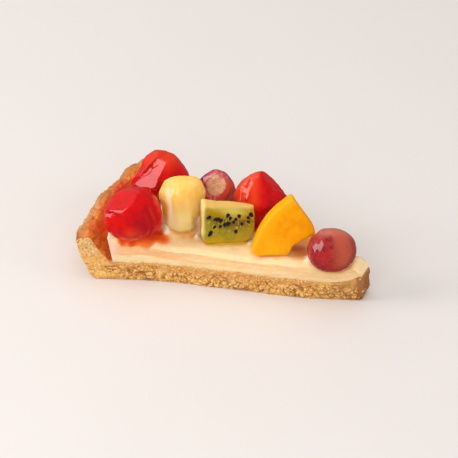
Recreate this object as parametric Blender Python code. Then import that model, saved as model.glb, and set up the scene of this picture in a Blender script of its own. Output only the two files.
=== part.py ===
"""Slice of a fresh fruit tart: a shortcrust wedge with a raised rim, a custard filling and
eight pieces of glazed fruit.

Frame: +Z up, the underside flat on z = 0, +X towards the pointed end, the rim at -X.
The slice is first laid out in polar form around the centre of the whole tart, and the
finished slice is then centred on the origin.
"""
import math
from dataclasses import dataclass

import bmesh
import bpy
from mathutils import Matrix, Vector

MM = 0.001

# Whole tart
RIM_RADIUS = 125.0 * MM            # outer edge of the rim, at its top
FOOT_RADIUS = 120.4 * MM           # outer edge of the underside
HALF_ANGLE = math.radians(15.2)    # the slice is one twelfth of the tart
TIP_X = -14.3 * MM                 # the pointed end was cut off square here

# Crust
BASE_THICKNESS = 8.0 * MM
BASE_TIP_LOSS = 0.6 * MM           # the base is a little thinner at the pointed end
RIM_HEIGHT = 18.2 * MM
RIM_TOP_WIDTH = 6.4 * MM
RIM_FOOT_INNER = 112.9 * MM        # where the inner wall meets the base
FOOT_ROUNDING = 4.5 * MM
RIM_EDGE_ROUNDING = 1.1 * MM
INNER_FILLET = 1.6 * MM
RIM_WAVES = ((8.0, 0.45 * MM, 1.3), (17.0, 0.3 * MM, 2.1), (27.0, 0.2 * MM, 4.0))

# Hand-cut front face: how far it strays from a straight line
FACE_HOLLOW = 2.3 * MM
FACE_HOLLOW_AT = 92.0 * MM
FACE_HOLLOW_SPREAD = 24.0 * MM
FACE_SWELL = 1.5 * MM
FACE_SWELL_AT = 36.0 * MM
FACE_SWELL_SPREAD = 15.0 * MM

# Custard
FILLING_RADIUS = 113.8 * MM        # outer edge of its top, which stands clear of the rim
FILLING_FOOT_RADIUS = 111.6 * MM
FILLING_AT_RIM = 18.6 * MM
FILLING_MIDDLE = 15.4 * MM
FILLING_AT_TIP = 12.4 * MM
RIM_SLOPE = (84.0 * MM, 106.0 * MM)
TIP_SLOPE = (14.0 * MM, 38.0 * MM)
FILLING_EDGE = 2.4 * MM            # width of the rounded shoulder along the cut faces
FILLING_EDGE_DROP = 1.3 * MM
TOP_RIPPLE = 0.3 * MM

# Kiwi: half a slice, and mango: a peeled wedge, each drawn on its own front plane
KIWI_HALF_WIDTH = 10.3 * MM
KIWI_HEIGHT = 16.2 * MM
KIWI_SHOULDER = -0.14              # where the round side begins, as a share of the height
KIWI_THICKNESS = 8.0 * MM
KIWI_BEVEL = 0.9 * MM
MANGO_APEX = (3.9 * MM, 11.4 * MM)
MANGO_LOW_LEFT = (-12.0 * MM, -9.0 * MM)
MANGO_FOOT = ((-10.4 * MM, -11.2 * MM), (2.0 * MM, -11.2 * MM))
MANGO_HEEL = ((3.6 * MM, -7.6 * MM), (12.6 * MM, -3.0 * MM), (11.8 * MM, -0.6 * MM))
MANGO_BULGE = 2.8 * MM
MANGO_THICKNESS = 8.5 * MM
MANGO_BEVEL = 1.0 * MM

# Clearances
GAP = 0.3 * MM
SEAT_GAP = 0.35 * MM

# Mesh fineness
ARC_STEPS = 14
RADIAL_STEPS = 24
ROUND_STEPS = 4
FLAT_FIRMNESS = 0.88               # 1 would make the pressed faces quite plane
SPHERE_SEGMENTS = 24
SPHERE_RINGS = 15

FACING = 22.0                      # the fruit faces this far round from -Y, in degrees


@dataclass
class Fruit:
    """One piece of fruit and how it stands on the custard."""
    name: str
    material: str
    form: str                      # ball, kiwi or mango
    spot: tuple                    # x and y of its middle, from the tart's centre
    stand: float                   # its height as it stands
    sink: float                    # how deep it is pressed into the custard
    yaw: float = FACING
    pitch: float = 0.0
    roll: float = 0.0
    size: tuple = ()               # width, depth and height of a ball form
    squareness: float = 2.0        # 2 is an egg, more is a soft block
    taper: float = 0.0             # how much wider the top is than the foot
    flats: tuple = ()              # each a direction and the share of the reach kept


FRUITS = (
    Fruit("strawberry_front", "strawberry", "ball", (-101.6 * MM, -19.8 * MM),
          stand=21.2 * MM, sink=2.8 * MM,
          size=(22.6 * MM, 19.0 * MM, 21.2 * MM), squareness=2.15,
          flats=(((-0.55, -0.75, 0.35), 0.93),)),
    Fruit("strawberry_back", "strawberry", "ball", (-102.6 * MM, 5.7 * MM),
          stand=22.8 * MM, sink=0.6 * MM, roll=-34.0,
          size=(24.8 * MM, 18.5 * MM, 20.2 * MM), squareness=2.1,
          flats=(((-0.45, -0.8, 0.3), 0.82), ((0.55, 0.0, 0.85), 0.84),
                 ((-0.3, 0.0, 1.0), 0.88))),
    Fruit("pineapple_chunk", "pineapple", "ball", (-87.1 * MM, -5.9 * MM),
          stand=23.2 * MM, sink=1.4 * MM,
          size=(16.5 * MM, 12.0 * MM, 23.2 * MM), squareness=3.2, taper=0.24),
    Fruit("kiwi_piece", "kiwi", "kiwi", (-68.0 * MM, -6.5 * MM),
          stand=17.4 * MM, sink=1.4 * MM, yaw=FACING + 6.0, roll=7.0),
    Fruit("grape_back", "cut_grape", "ball", (-80.6 * MM, 13.4 * MM),
          stand=17.4 * MM, sink=1.2 * MM,
          size=(13.6 * MM, 13.4 * MM, 17.4 * MM), squareness=2.2,
          flats=(((-0.35, -0.75, 0.55), 0.42), ((0.3, 0.1, 1.0), 0.86))),
    Fruit("strawberry_right", "strawberry", "ball", (-61.1 * MM, 10.2 * MM),
          stand=23.2 * MM, sink=1.4 * MM, roll=42.0,
          size=(19.0 * MM, 15.5 * MM, 20.5 * MM), squareness=2.9,
          flats=(((-0.6, -0.8, 0.25), 0.72),)),
    Fruit("mango_wedge", "mango", "mango", (-46.8 * MM, -3.0 * MM),
          stand=23.0 * MM, sink=1.2 * MM, yaw=FACING + 5.0, pitch=-18.0),
    Fruit("grape_front", "grape", "ball", (-25.3 * MM, -6.0 * MM),
          stand=16.6 * MM, sink=0.6 * MM,
          size=(19.0 * MM, 17.6 * MM, 16.6 * MM), squareness=2.1),
)

COLOURS = {
    "crust": (0.60, 0.34, 0.12),
    "custard": (0.93, 0.62, 0.28),
    "strawberry": (0.55, 0.012, 0.010),
    "pineapple": (0.96, 0.58, 0.13),
    "kiwi": (0.30, 0.24, 0.02),
    "grape": (0.30, 0.045, 0.04),
    "cut_grape": (0.62, 0.26, 0.14),
    "mango": (0.93, 0.36, 0.012),
}


# ---------------------------------------------------------------- small helpers

def smooth_step(low, high, value):
    """0 below low, 1 above high, an even S between them."""
    share = min(max((value - low) / (high - low), 0.0), 1.0)
    return share * share * (3.0 - 2.0 * share)


def hump(value, centre, spread):
    return math.exp(-((value - centre) / spread) ** 2)


def arc_points(centre, radius, start, end, steps):
    """Points on an arc in the (distance, height) plane, angles in degrees."""
    points = []
    for step in range(steps + 1):
        angle = math.radians(start + (end - start) * step / steps)
        points.append((centre[0] + radius * math.cos(angle),
                       centre[1] + radius * math.sin(angle)))
    return points


def make_material(name, colour, roughness):
    material = bpy.data.materials.new(name)
    material.use_nodes = True
    shader = material.node_tree.nodes["Principled BSDF"]
    shader.inputs["Base Color"].default_value = (*colour, 1.0)
    shader.inputs["Roughness"].default_value = roughness
    shader.inputs["Metallic"].default_value = 0.0
    return material


def add_object(name, bm, material, parent):
    """Close the bmesh into a named object with outward faces."""
    bmesh.ops.recalc_face_normals(bm, faces=bm.faces)
    mesh = bpy.data.meshes.new(name)
    bm.to_mesh(mesh)
    bm.free()
    mesh.shade_smooth()
    mesh.set_sharp_from_angle(angle=math.radians(40))
    mesh.materials.append(material)
    thing = bpy.data.objects.new(name, mesh)
    bpy.context.collection.objects.link(thing)
    thing.parent = parent
    return thing


# ---------------------------------------------------------------- layout of the slice

def face_stray(distance):
    """How far the front cut moves along -Y at this distance from the tart's centre."""
    hollow = FACE_HOLLOW * hump(distance, FACE_HOLLOW_AT, FACE_HOLLOW_SPREAD)
    swell = FACE_SWELL * hump(distance, FACE_SWELL_AT, FACE_SWELL_SPREAD)
    return swell - hollow


def place(distance, share, height):
    """Point of the slice: share runs from -1 on the front cut to +1 on the back cut."""
    angle = share * HALF_ANGLE
    x = -distance * math.cos(angle)
    y = distance * math.sin(angle)
    if share < 0.0:
        y -= face_stray(distance) * share * share
    return Vector((x, y, height))


def tip_distance(share):
    """Distance of the square-cut pointed end from the tart's centre."""
    return -TIP_X / math.cos(share * HALF_ANGLE)


def base_top(distance):
    return BASE_THICKNESS - BASE_TIP_LOSS * (1.0 - smooth_step(*TIP_SLOPE, distance))


def rim_wave(share, phase):
    """Unevenness of the hand-pressed rim along its arc."""
    total = 0.0
    for count, depth, offset in RIM_WAVES:
        total += depth * math.sin(count * share + offset + phase)
    return total


def filling_top(distance, share):
    """Height of the custard's top."""
    height = FILLING_AT_TIP
    height += (FILLING_MIDDLE - FILLING_AT_TIP) * smooth_step(*TIP_SLOPE, distance)
    height += (FILLING_AT_RIM - FILLING_MIDDLE) * smooth_step(*RIM_SLOPE, distance)
    height += TOP_RIPPLE * math.sin(distance / (7.0 * MM)) * math.cos(3.0 * share)
    to_cut = (1.0 - abs(share)) * distance * HALF_ANGLE
    to_tip = distance - tip_distance(share)
    to_rim = FILLING_RADIUS - distance
    for reach in (to_cut, to_tip, to_rim):
        short = max(0.0, 1.0 - reach / FILLING_EDGE)
        height -= FILLING_EDGE_DROP * short * short
    return height


# ---------------------------------------------------------------- crust

def crust_chains(share):
    """Lower-outer and upper-inner lines of the crust's section, with equal point counts."""
    wave_out = rim_wave(share, 0.0)
    wave_up = rim_wave(share, 1.7)
    start = tip_distance(share)
    rim_top = RIM_HEIGHT + wave_up
    top_outer = RIM_RADIUS + wave_out
    top_inner = RIM_RADIUS - RIM_TOP_WIDTH + 0.5 * wave_out
    flat_end = FOOT_RADIUS - FOOT_ROUNDING
    outer = []
    inner = []
    for step in range(RADIAL_STEPS + 1):
        along = step / RADIAL_STEPS
        outer.append((start + (flat_end - start) * along, 0.0))
        distance = start + (RIM_FOOT_INNER - INNER_FILLET - start) * along
        inner.append((distance, base_top(distance)))
    outer += arc_points((flat_end, FOOT_ROUNDING), FOOT_ROUNDING, -90, -14, ROUND_STEPS)[1:]
    fillet_centre = (RIM_FOOT_INNER - INNER_FILLET, base_top(RIM_RADIUS) + INNER_FILLET)
    inner += arc_points(fillet_centre, INNER_FILLET, -90, -20, ROUND_STEPS)[1:]
    wall_steps = 5
    outer_foot = outer[-1]
    inner_foot = inner[-1]
    outer_head = (top_outer, rim_top - 1.6 * RIM_EDGE_ROUNDING)
    inner_head = (top_inner, rim_top - 0.2 * RIM_EDGE_ROUNDING)
    for step in range(1, wall_steps + 1):
        along = step / wall_steps
        belly = 0.5 * MM * math.sin(math.pi * along)
        outer.append((outer_foot[0] + (outer_head[0] - outer_foot[0]) * along + belly,
                      outer_foot[1] + (outer_head[1] - outer_foot[1]) * along))
        inner.append((inner_foot[0] + (inner_head[0] - inner_foot[0]) * along + belly,
                      inner_foot[1] + (inner_head[1] - inner_foot[1]) * along))
    edge = RIM_EDGE_ROUNDING
    outer.append((top_outer - 0.3 * edge, rim_top - 0.6 * edge))
    inner.append((top_inner + 0.9 * edge, rim_top + 0.7 * edge))
    outer.append((top_outer - 1.5 * edge, rim_top + 0.3 * edge))
    inner.append((top_inner + 2.4 * edge, rim_top + 0.8 * edge))
    return outer, inner


def build_crust(material, parent):
    """Base and rim in one piece of pastry, swept around the tart's centre."""
    bm = bmesh.new()
    sections = []
    for step in range(ARC_STEPS + 1):
        share = -1.0 + 2.0 * step / ARC_STEPS
        outer, inner = crust_chains(share)
        lower = [bm.verts.new(place(distance, share, height)) for distance, height in outer]
        upper = [bm.verts.new(place(distance, share, height)) for distance, height in inner]
        sections.append((lower, upper))
    for (lower_a, upper_a), (lower_b, upper_b) in zip(sections, sections[1:]):
        for row_a, row_b in ((lower_a, lower_b), (upper_a, upper_b)):
            for i in range(len(row_a) - 1):
                bm.faces.new((row_a[i], row_a[i + 1], row_b[i + 1], row_b[i]))
        bm.faces.new((lower_a[0], lower_b[0], upper_b[0], upper_a[0]))
        bm.faces.new((lower_a[-1], lower_b[-1], upper_b[-1], upper_a[-1]))
    for lower, upper in (sections[0], sections[-1]):
        for i in range(len(lower) - 1):
            bm.faces.new((lower[i], lower[i + 1], upper[i + 1], upper[i]))
    return add_object("crust_shell", bm, material, parent)


# ---------------------------------------------------------------- custard

def build_custard(material, parent):
    """Filling from the base up to its smeared top, cut flush with the crust's faces."""
    bm = bmesh.new()
    rows = []
    for step in range(ARC_STEPS + 1):
        share = -1.0 + 2.0 * step / ARC_STEPS
        start = tip_distance(share)
        upper = []
        lower = []
        for i in range(RADIAL_STEPS + 1):
            along = i / RADIAL_STEPS
            distance = start + (FILLING_RADIUS - start) * along
            upper.append(bm.verts.new(place(distance, share, filling_top(distance, share))))
            distance = start + (FILLING_FOOT_RADIUS - start) * along
            floor = base_top(distance) + GAP
            lower.append(bm.verts.new(place(distance, share, floor)))
        rows.append((lower, upper))
    for (lower_a, upper_a), (lower_b, upper_b) in zip(rows, rows[1:]):
        for row_a, row_b in ((lower_a, lower_b), (upper_a, upper_b)):
            for i in range(RADIAL_STEPS):
                bm.faces.new((row_a[i], row_a[i + 1], row_b[i + 1], row_b[i]))
        bm.faces.new((lower_a[0], lower_b[0], upper_b[0], upper_a[0]))
        bm.faces.new((lower_a[-1], lower_b[-1], upper_b[-1], upper_a[-1]))
    for lower, upper in (rows[0], rows[-1]):
        for i in range(RADIAL_STEPS):
            bm.faces.new((lower[i], lower[i + 1], upper[i + 1], upper[i]))
    return add_object("custard_filling", bm, material, parent)


# ---------------------------------------------------------------- fruit

def seat_matrix(fruit):
    """Turn a piece of fruit and stand it on the custard, pressed in by its sink."""
    x, y = fruit.spot
    share = math.atan2(y, -x) / HALF_ANGLE
    level = filling_top(math.hypot(x, y), min(max(share, -0.8), 0.8))
    centre = Vector((x, y, level - fruit.sink + 0.5 * fruit.stand))
    turn = Matrix.Rotation(math.radians(fruit.yaw), 4, "Z")
    turn = turn @ Matrix.Rotation(math.radians(fruit.pitch), 4, "X")
    turn = turn @ Matrix.Rotation(math.radians(fruit.roll), 4, "Y")
    return Matrix.Translation(centre) @ turn


def rounded_body(fruit):
    """Ball, egg or soft block, widened upwards by its taper and pressed flat by its flats."""
    bm = bmesh.new()
    bmesh.ops.create_uvsphere(bm, u_segments=SPHERE_SEGMENTS, v_segments=SPHERE_RINGS,
                              radius=1.0)
    half = [0.5 * extent for extent in fruit.size]
    power = fruit.squareness
    for vert in bm.verts:
        unit = vert.co.normalized()
        reach = sum(abs(part) ** power for part in unit) ** (-1.0 / power)
        point = unit * reach
        widen = 1.0 + fruit.taper * point.z
        point = Vector((point.x * widen * half[0], point.y * widen * half[1],
                        point.z * half[2]))
        for direction, kept in fruit.flats:
            normal = Vector(direction).normalized()
            far = math.sqrt(sum((normal[i] * half[i]) ** 2 for i in range(3)))
            over = point.dot(normal) - kept * far
            if over > 0.0:
                point -= normal * over * FLAT_FIRMNESS
        vert.co = point
    return bm


def slab_body(outline, thickness, bevel):
    """Flat piece of fruit: an outline in its XZ plane, drawn out along Y, edges softened."""
    bm = bmesh.new()
    verts = [bm.verts.new((x, -0.5 * thickness, z)) for x, z in outline]
    face = bm.faces.new(verts)
    grown = bmesh.ops.extrude_face_region(bm, geom=[face])
    moved = [part for part in grown["geom"] if isinstance(part, bmesh.types.BMVert)]
    bmesh.ops.translate(bm, verts=moved, vec=(0.0, thickness, 0.0))
    bmesh.ops.recalc_face_normals(bm, faces=bm.faces)
    bmesh.ops.bevel(bm, geom=list(bm.edges), offset=bevel, segments=2, profile=0.6,
                    affect="EDGES", clamp_overlap=True)
    bmesh.ops.triangulate(bm, faces=bm.faces)
    return bm


def kiwi_outline():
    """Half of a round slice, its straight side up and its round side flattened a little."""
    half_height = 0.5 * KIWI_HEIGHT
    shoulder = KIWI_SHOULDER * KIWI_HEIGHT
    points = [(KIWI_HALF_WIDTH, half_height), (-KIWI_HALF_WIDTH, half_height)]
    steps = 9
    for step in range(steps + 1):
        angle = math.pi + math.pi * step / steps
        across = math.copysign(abs(math.cos(angle)) ** 0.5, math.cos(angle))
        points.append((KIWI_HALF_WIDTH * across,
                       shoulder + (half_height + shoulder) * math.sin(angle)))
    return points


def mango_outline():
    """Peeled wedge: a long arc on the left, straight cuts on the right and below."""
    low_left = Vector(MANGO_LOW_LEFT)
    chord = Vector(MANGO_APEX) - low_left
    side = Vector((-chord.y, chord.x)).normalized()
    points = [MANGO_FOOT[1], *MANGO_HEEL]
    steps = 8
    for step in range(steps + 1):
        along = 1.0 - step / steps
        swing = MANGO_BULGE * math.sin(math.pi * along)
        points.append(tuple(low_left + chord * along + side * swing))
    points.append(MANGO_FOOT[0])
    return points


def build_fruit(materials, parent):
    """Eight pieces of fruit in two rows, from the rim to the pointed end."""
    pieces = []
    for fruit in FRUITS:
        if fruit.form == "kiwi":
            bm = slab_body(kiwi_outline(), KIWI_THICKNESS, KIWI_BEVEL)
        elif fruit.form == "mango":
            bm = slab_body(mango_outline(), MANGO_THICKNESS, MANGO_BEVEL)
        else:
            bm = rounded_body(fruit)
        bmesh.ops.transform(bm, matrix=seat_matrix(fruit), verts=bm.verts)
        pieces.append(add_object(fruit.name, bm, materials[fruit.material], parent))
    return pieces


def press_into(filling, fruit):
    """Hollow the custard out under each piece of fruit, with a small clearance."""
    for piece in fruit:
        cutter = piece.copy()
        cutter.data = piece.data.copy()
        cutter.name = "seat_" + piece.name
        bpy.context.collection.objects.link(cutter)
        normals = [vert.normal.copy() for vert in cutter.data.vertices]
        for vert, normal in zip(cutter.data.vertices, normals):
            vert.co += normal * SEAT_GAP
        cutter.hide_render = True
        cutter.display_type = "WIRE"
        cut = filling.modifiers.new("seat_" + piece.name, "BOOLEAN")
        cut.operation = "DIFFERENCE"
        cut.object = cutter


# ---------------------------------------------------------------- whole slice

def centre_on_origin(holder):
    """Move the slice so that the middle of its footprint box is at x = 0, y = 0."""
    bpy.context.view_layer.update()
    corners = []
    for thing in bpy.data.objects:
        if thing.type == "MESH" and not thing.hide_render:
            for vert in thing.data.vertices:
                corners.append(vert.co)
    middle_x = 0.5 * (min(c.x for c in corners) + max(c.x for c in corners))
    middle_y = 0.5 * (min(c.y for c in corners) + max(c.y for c in corners))
    holder.location = (-middle_x, -middle_y, 0.0)


def main():
    for thing in list(bpy.data.objects):
        bpy.data.objects.remove(thing, do_unlink=True)
    holder = bpy.data.objects.new("tart_slice", None)
    bpy.context.collection.objects.link(holder)
    materials = {}
    for name, colour in COLOURS.items():
        roughness = 0.75 if name == "crust" else 0.3
        materials[name] = make_material(name, colour, roughness)
    build_crust(materials["crust"], holder)
    custard = build_custard(materials["custard"], holder)
    fruit = build_fruit(materials, holder)
    press_into(custard, fruit)
    centre_on_origin(holder)


main()
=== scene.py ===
"""Fruit tart slice: the fine shapes and finishes of its crust, custard, fruit and glaze.

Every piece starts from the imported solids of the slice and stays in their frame: +Z up, the
underside on z = 0, the rim at -X and the pointed end at +X. Shapes are worked in millimetres
and stored in metres.
"""

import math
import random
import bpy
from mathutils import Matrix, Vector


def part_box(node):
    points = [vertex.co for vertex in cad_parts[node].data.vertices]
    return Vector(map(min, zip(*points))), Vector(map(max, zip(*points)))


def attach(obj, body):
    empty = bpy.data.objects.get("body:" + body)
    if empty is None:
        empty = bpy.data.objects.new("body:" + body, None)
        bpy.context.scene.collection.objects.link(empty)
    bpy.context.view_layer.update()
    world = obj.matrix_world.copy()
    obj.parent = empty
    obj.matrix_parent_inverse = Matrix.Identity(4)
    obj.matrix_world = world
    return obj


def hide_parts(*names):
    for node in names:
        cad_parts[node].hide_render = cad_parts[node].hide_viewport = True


bl_info = {
    "name": "Fruit Tart Slice",
    "version": (1, 0, 0),
    "blender": (4, 5, 0),
    "location": "View3D > Sidebar > Tart",
    "description": "Dresses the solids of a fruit tart slice with crumb, custard, fruit and glaze",
    "category": "Object",
}

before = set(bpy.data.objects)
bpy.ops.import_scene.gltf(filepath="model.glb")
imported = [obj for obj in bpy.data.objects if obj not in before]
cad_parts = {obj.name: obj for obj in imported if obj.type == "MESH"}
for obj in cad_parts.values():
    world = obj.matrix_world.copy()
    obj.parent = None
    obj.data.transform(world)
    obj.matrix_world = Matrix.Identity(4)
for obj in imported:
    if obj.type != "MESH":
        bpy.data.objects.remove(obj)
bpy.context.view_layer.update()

import bpy
import numpy as np
from bpy.props import FloatProperty, FloatVectorProperty, IntProperty, PointerProperty
from mathutils import Matrix, Vector, noise
from mathutils.bvhtree import BVHTree

MM = 0.001
BODY = "root"

# The slice in polar form round the middle of the whole tart, in millimetres
TART_CENTRE = np.array([69.92, -0.21, 0.0])
HALF_ANGLE = math.radians(15.2)
TIP_DISTANCE = 14.3
FILLING_RADIUS = 112.7
FILLING_FOOT_RADIUS = 110.7
BASE_TOP = 8.0

# How much the pastry's floor rises towards the tip, and once more at its very end
TIP_RISE = 3.2
END_RISE = 0.7

# Outward directions of the two cuts and of the square-cut end, and of the rim's inner wall
FRONT_CUT = np.array([math.sin(HALF_ANGLE), -math.cos(HALF_ANGLE), 0.0])
BACK_CUT = np.array([math.sin(HALF_ANGLE), math.cos(HALF_ANGLE), 0.0])
END_CUT = np.array([1.0, 0.0, 0.0])
RIM_WALL = np.array([0.92, 0.0, 0.3])

# How many degrees the fruit's front row is turned about the upright
FRUIT_YAW = 22.0

# Where the front shows: toward the viewer, to the right and up. Then the way from the back
# berry's groove to its upper lobe, and the slope that mirrors the main light.
TO_EYE = np.array([0.325, -0.766, 0.555])
TO_RIGHT = np.array([0.921, 0.391, 0.0])
TO_TOP = np.array([-0.217, 0.511, 0.832])
LOBE_WAY = np.array([-0.783, 0.112, 0.612])
KEY_FACE = np.array([-0.195, -0.690, 0.694])

# The berries: how far each is rolled, and how far back its skin with seeds begins
BERRIES = {"front": (0.0, 0.35), "back": (-34.0, 0.4), "right": (42.0, 0.4)}
BERRY_SPOTS = 110

# Flats on two of the berries: how far each looks right, up and toward the viewer, and how far
# it lies from the middle. How soft their edges are comes first.
BERRY_FLATS = {
    "front": (0.18, ((-0.45, 0.575, 0.685, 9.1), (0.02, -0.05, 1.0, 9.5),
                     (0.62, -0.1, 0.78, 9.7))),
    "right": (0.2, ((-0.86, 0.15, 0.49, 9.4), (-0.45, 0.27, 0.85, 8.7),
                    (-0.1, 0.12, 0.985, 8.1), (0.5, 0.15, 0.85, 7.5), (0.6, 0.62, 0.5, 8.4))),
}

# Flat glazed patches on the berries: corners as seen from the front, to the right and up of the
# berry's middle
PATCHES = {
    "front": (((-10.9, 0.5), (-10.3, -2.2), (-9.0, -1.0), (-6.2, -0.2), (-7.8, 0.9)),),
    "back": (((-11.0, -5.2), (-0.8, -5.2), (2.9, 4.8), (-0.2, 7.3)),),
    "right": (((-8.2, 4.8), (-6.2, 2.1), (-4.7, 3.3), (-7.0, 6.0)),
              ((-4.3, 7.7), (-5.8, 3.7), (-6.4, -0.2), (-5.3, -0.6), (-3.9, 3.7), (-3.2, 6.7))),
}

# Corners of each fruit's outline as seen from the front: degrees round from its right side and
# reach from its middle. The rest of the way round another piece hides it.
OUTLINES = {
    "strawberry_front": ((0, 11.4), (20, 11.0), (55, 11.6), (90, 10.8), (150, 10.8), (205, 11.7),
                         (240, 10.6), (280, 9.8), (300, 10.2), (335, 11.9), (360, 11.4)),
    "strawberry_back": ((0, 12.2), (25, 10.4), (95, 10.1), (120, 9.3), (150, 7.8), (170, 8.2),
                        (195, 11.0)),
    "strawberry_right": ((15, 9.5), (38, 8.7), (60, 9.4), (90, 11.1), (120, 10.6), (165, 10.7)),
    "pineapple_chunk": ((30, 10.7), (60, 12.4), (90, 11.5), (120, 11.8), (150, 10.9), (180, 8.4),
                        (205, 8.2), (245, 11.0), (270, 11.7), (285, 11.1), (320, 7.2),
                        (345, 8.4)),
    "kiwi_piece": ((0, 10.1), (15, 10.5), (37, 12.0), (60, 9.5), (75, 8.7), (90, 8.6),
                   (105, 9.1), (120, 10.4), (137, 14.1), (165, 11.5), (180, 10.9), (210, 11.6),
                   (225, 11.2), (240, 9.2), (270, 8.0), (300, 9.0), (330, 10.4), (360, 10.1)),
    "grape_back": ((-15, 7.2), (10, 6.7), (45, 7.0), (100, 8.6), (125, 8.2), (150, 8.5)),
}
OUTLINE_STEPS = 24

# The kiwi's core, and its seeds in runs on the cut face: from and to, across and up from the
# middle of the face, and how many
KIWI_CORE = (0.5, 12.5)
SEED_RUNS = ((-8.4, 4.5, -3.2, 3.5, 4), (-7.4, -3.6, -3.9, 1.7, 4), (-2.7, 0.9, 5.2, 7.2, 7),
             (-1.3, 5.7, -0.2, 4.5, 2), (4.6, 2.9, 7.0, 6.6, 3), (3.1, -0.8, 7.4, 4.4, 2))

# Flats round the cut grape, given as the berries' flats are
GRAPE_FLATS = ((-0.5, 0.6, 0.62, 6.9), (0.6, 0.55, 0.58, 6.9), (0.8, -0.35, 0.49, 6.3),
               (-0.8, -0.2, 0.56, 6.6))

# Ends of the mango's outer arc on its cut face, and how far the arc bows out of a straight line
MANGO_ARC = ((-12.0, -9.0), (3.9, 11.4))
MANGO_BOW = 2.8

# Where glaze pools on the custard: along and across the slice, width and strength
POOLS = ((28.6, -1.5, 4.6, 0.95), (25.5, 0.5, 4.4, 0.9), (33.0, -4.0, 3.6, 0.8),
         (31.6, -5.8, 3.4, 0.9), (30.2, 4.6, 4.0, 0.95), (31.5, 8.5, 3.2, 0.95),
         (-11.4, -9.6, 2.6, 0.8), (-14.5, -11.5, 2.0, 0.6))

# The darkest pool, between mango and grape, where glaze is painted darker as the mango's shadow,
# and the juice under the front berry's right side: place and width
SHADED_POOL = (29.6, -1.6, 3.4)
RED_SPILL = (-21.1, -17.6, 3.0)

# Ridges and dabs where the fruit pushed the custard up: start, end, width and rise
RIDGES = ((-28.0, -1.0, -20.6, -13.6, 1.5, 2.2), (-9.7, -6.5, -9.5, -10.5, 1.0, 1.8),
          (35.8, -6.0, 36.2, -8.0, 1.9, 1.2), (11.2, -4.6, 11.4, -6.4, 1.2, 0.7))

# The custard's sheet: squares along the slice, across it and down each side
SHEET_ALONG, SHEET_ACROSS, SHEET_DOWN = 320, 124, 26

# Lights: name, way to it, reach, width and height in metres, strength, and what it adds
LIGHTS = (("key_light", (-0.76, -0.45, 0.47), 0.8, 0.3, 0.52, 6.8, "shading"),
          ("key_shine", (-0.73, -0.43, 0.53), 0.8, 0.46, 0.66, 5.2, "shine"),
          ("left_light", (-0.75, 0.22, 0.6), 1.1, 1.9, 1.5, 0.44, "both"),
          ("front_fill", (0.25, -0.8, 0.55), 1.3, 1.2, 0.9, 2.25, "shading"),
          ("top_fill", (0.1, 0.15, 1.0), 1.3, 1.6, 1.6, 1.0, "shading"),
          ("right_fill", (0.9, 0.1, 0.5), 1.3, 1.0, 0.8, 1.5, "shading"))
SKY_STRENGTH = 0.22

# The camera's place and what it looks at, in metres, and its lens in millimetres
CAMERA_PLACE = (0.42236, -0.99593, 0.73695)
CAMERA_TARGET = (-0.00028, -0.00021, 0.01589)
CAMERA_LENS = 264.5


def tone(red, green, blue):
    """A colour given as the usual 0 to 255 values, in the linear form that shaders use."""
    parts = []
    for value in (red, green, blue):
        share = value / 255.0
        parts.append(share / 12.92 if share <= 0.04045 else ((share + 0.055) / 1.055) ** 2.4)
    return tuple(parts)


# ---------------------------------------------------------------- settings

def length_setting(name, description, size):
    return FloatProperty(name=name, description=description, default=size * MM, unit="LENGTH")


class TartSizes(bpy.types.PropertyGroup):
    """Sizes of the fine shapes."""
    crust_grain: length_setting("Crust grain", "Mesh size that the pastry is worked at", 0.34)
    crumb_relief: length_setting("Crumb relief", "How far crumbs stand out of the cuts", 0.5)
    rim_relief: length_setting("Rim relief", "Unevenness of the baked rim", 0.35)
    crumb_count: IntProperty(name="Crumbs", description="Loose crumbs on the cut pastry",
                             default=620, min=0)
    smear_relief: length_setting("Smear relief", "Depth of the knife's strokes in the custard",
                                 0.34)
    fruit_grain: length_setting("Fruit grain", "Mesh size that the fruit is worked at", 0.36)
    glaze_climb: length_setting("Glaze climb", "How high the glaze climbs up the fruit", 1.4)


def colour_setting(name, description, red, green, blue):
    return FloatVectorProperty(name=name, description=description, subtype="COLOR", size=3,
                               min=0.0, max=1.0, default=tone(red, green, blue))


class TartColours(bpy.types.PropertyGroup):
    """Colours of the pastry, the filling and the fruit."""
    crust: colour_setting("Crust", "Baked shortcrust", 226, 172, 112)
    crust_dark: colour_setting("Browned crust", "Well baked shortcrust", 190, 122, 62)
    crust_cut: colour_setting("Cut crust", "Shortcrust at the cuts", 232, 174, 96)
    custard: colour_setting("Custard", "Filling at the cuts", 253, 214, 155)
    custard_low: colour_setting("Lower custard", "Paler filling near the base", 253, 222, 165)
    amber: colour_setting("Amber glaze", "Glaze where it pools", 238, 156, 44)
    red_glaze: colour_setting("Red glaze", "Glaze with strawberry juice", 216, 44, 16)
    strawberry: colour_setting("Strawberry", "Red flesh", 210, 10, 12)
    strawberry_pale: colour_setting("Pale strawberry", "Lighter, more orange flesh", 230, 62, 26)
    pineapple: colour_setting("Pineapple", "Pale yellow flesh", 253, 192, 84)
    kiwi: colour_setting("Kiwi", "Green flesh", 150, 140, 30)
    kiwi_core: colour_setting("Kiwi core", "Pale heart of the kiwi", 226, 206, 120)
    kiwi_seed: colour_setting("Kiwi seed", "Dark seeds", 38, 22, 14)
    mango: colour_setting("Mango", "Orange flesh", 250, 166, 6)
    grape: colour_setting("Grape", "Red grape skin", 172, 34, 38)
    grape_brown: colour_setting("Brown grape", "Skin where flesh shows through", 190, 88, 62)
    grape_flesh: colour_setting("Grape flesh", "Cut grape", 212, 156, 116)
    floor: colour_setting("Floor", "Pale floor", 229, 221, 216)


# ---------------------------------------------------------------- working on meshes

def smooth_step(low, high, value):
    share = np.clip((value - low) / (high - low), 0.0, 1.0)
    return share * share * (3.0 - 2.0 * share)


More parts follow.
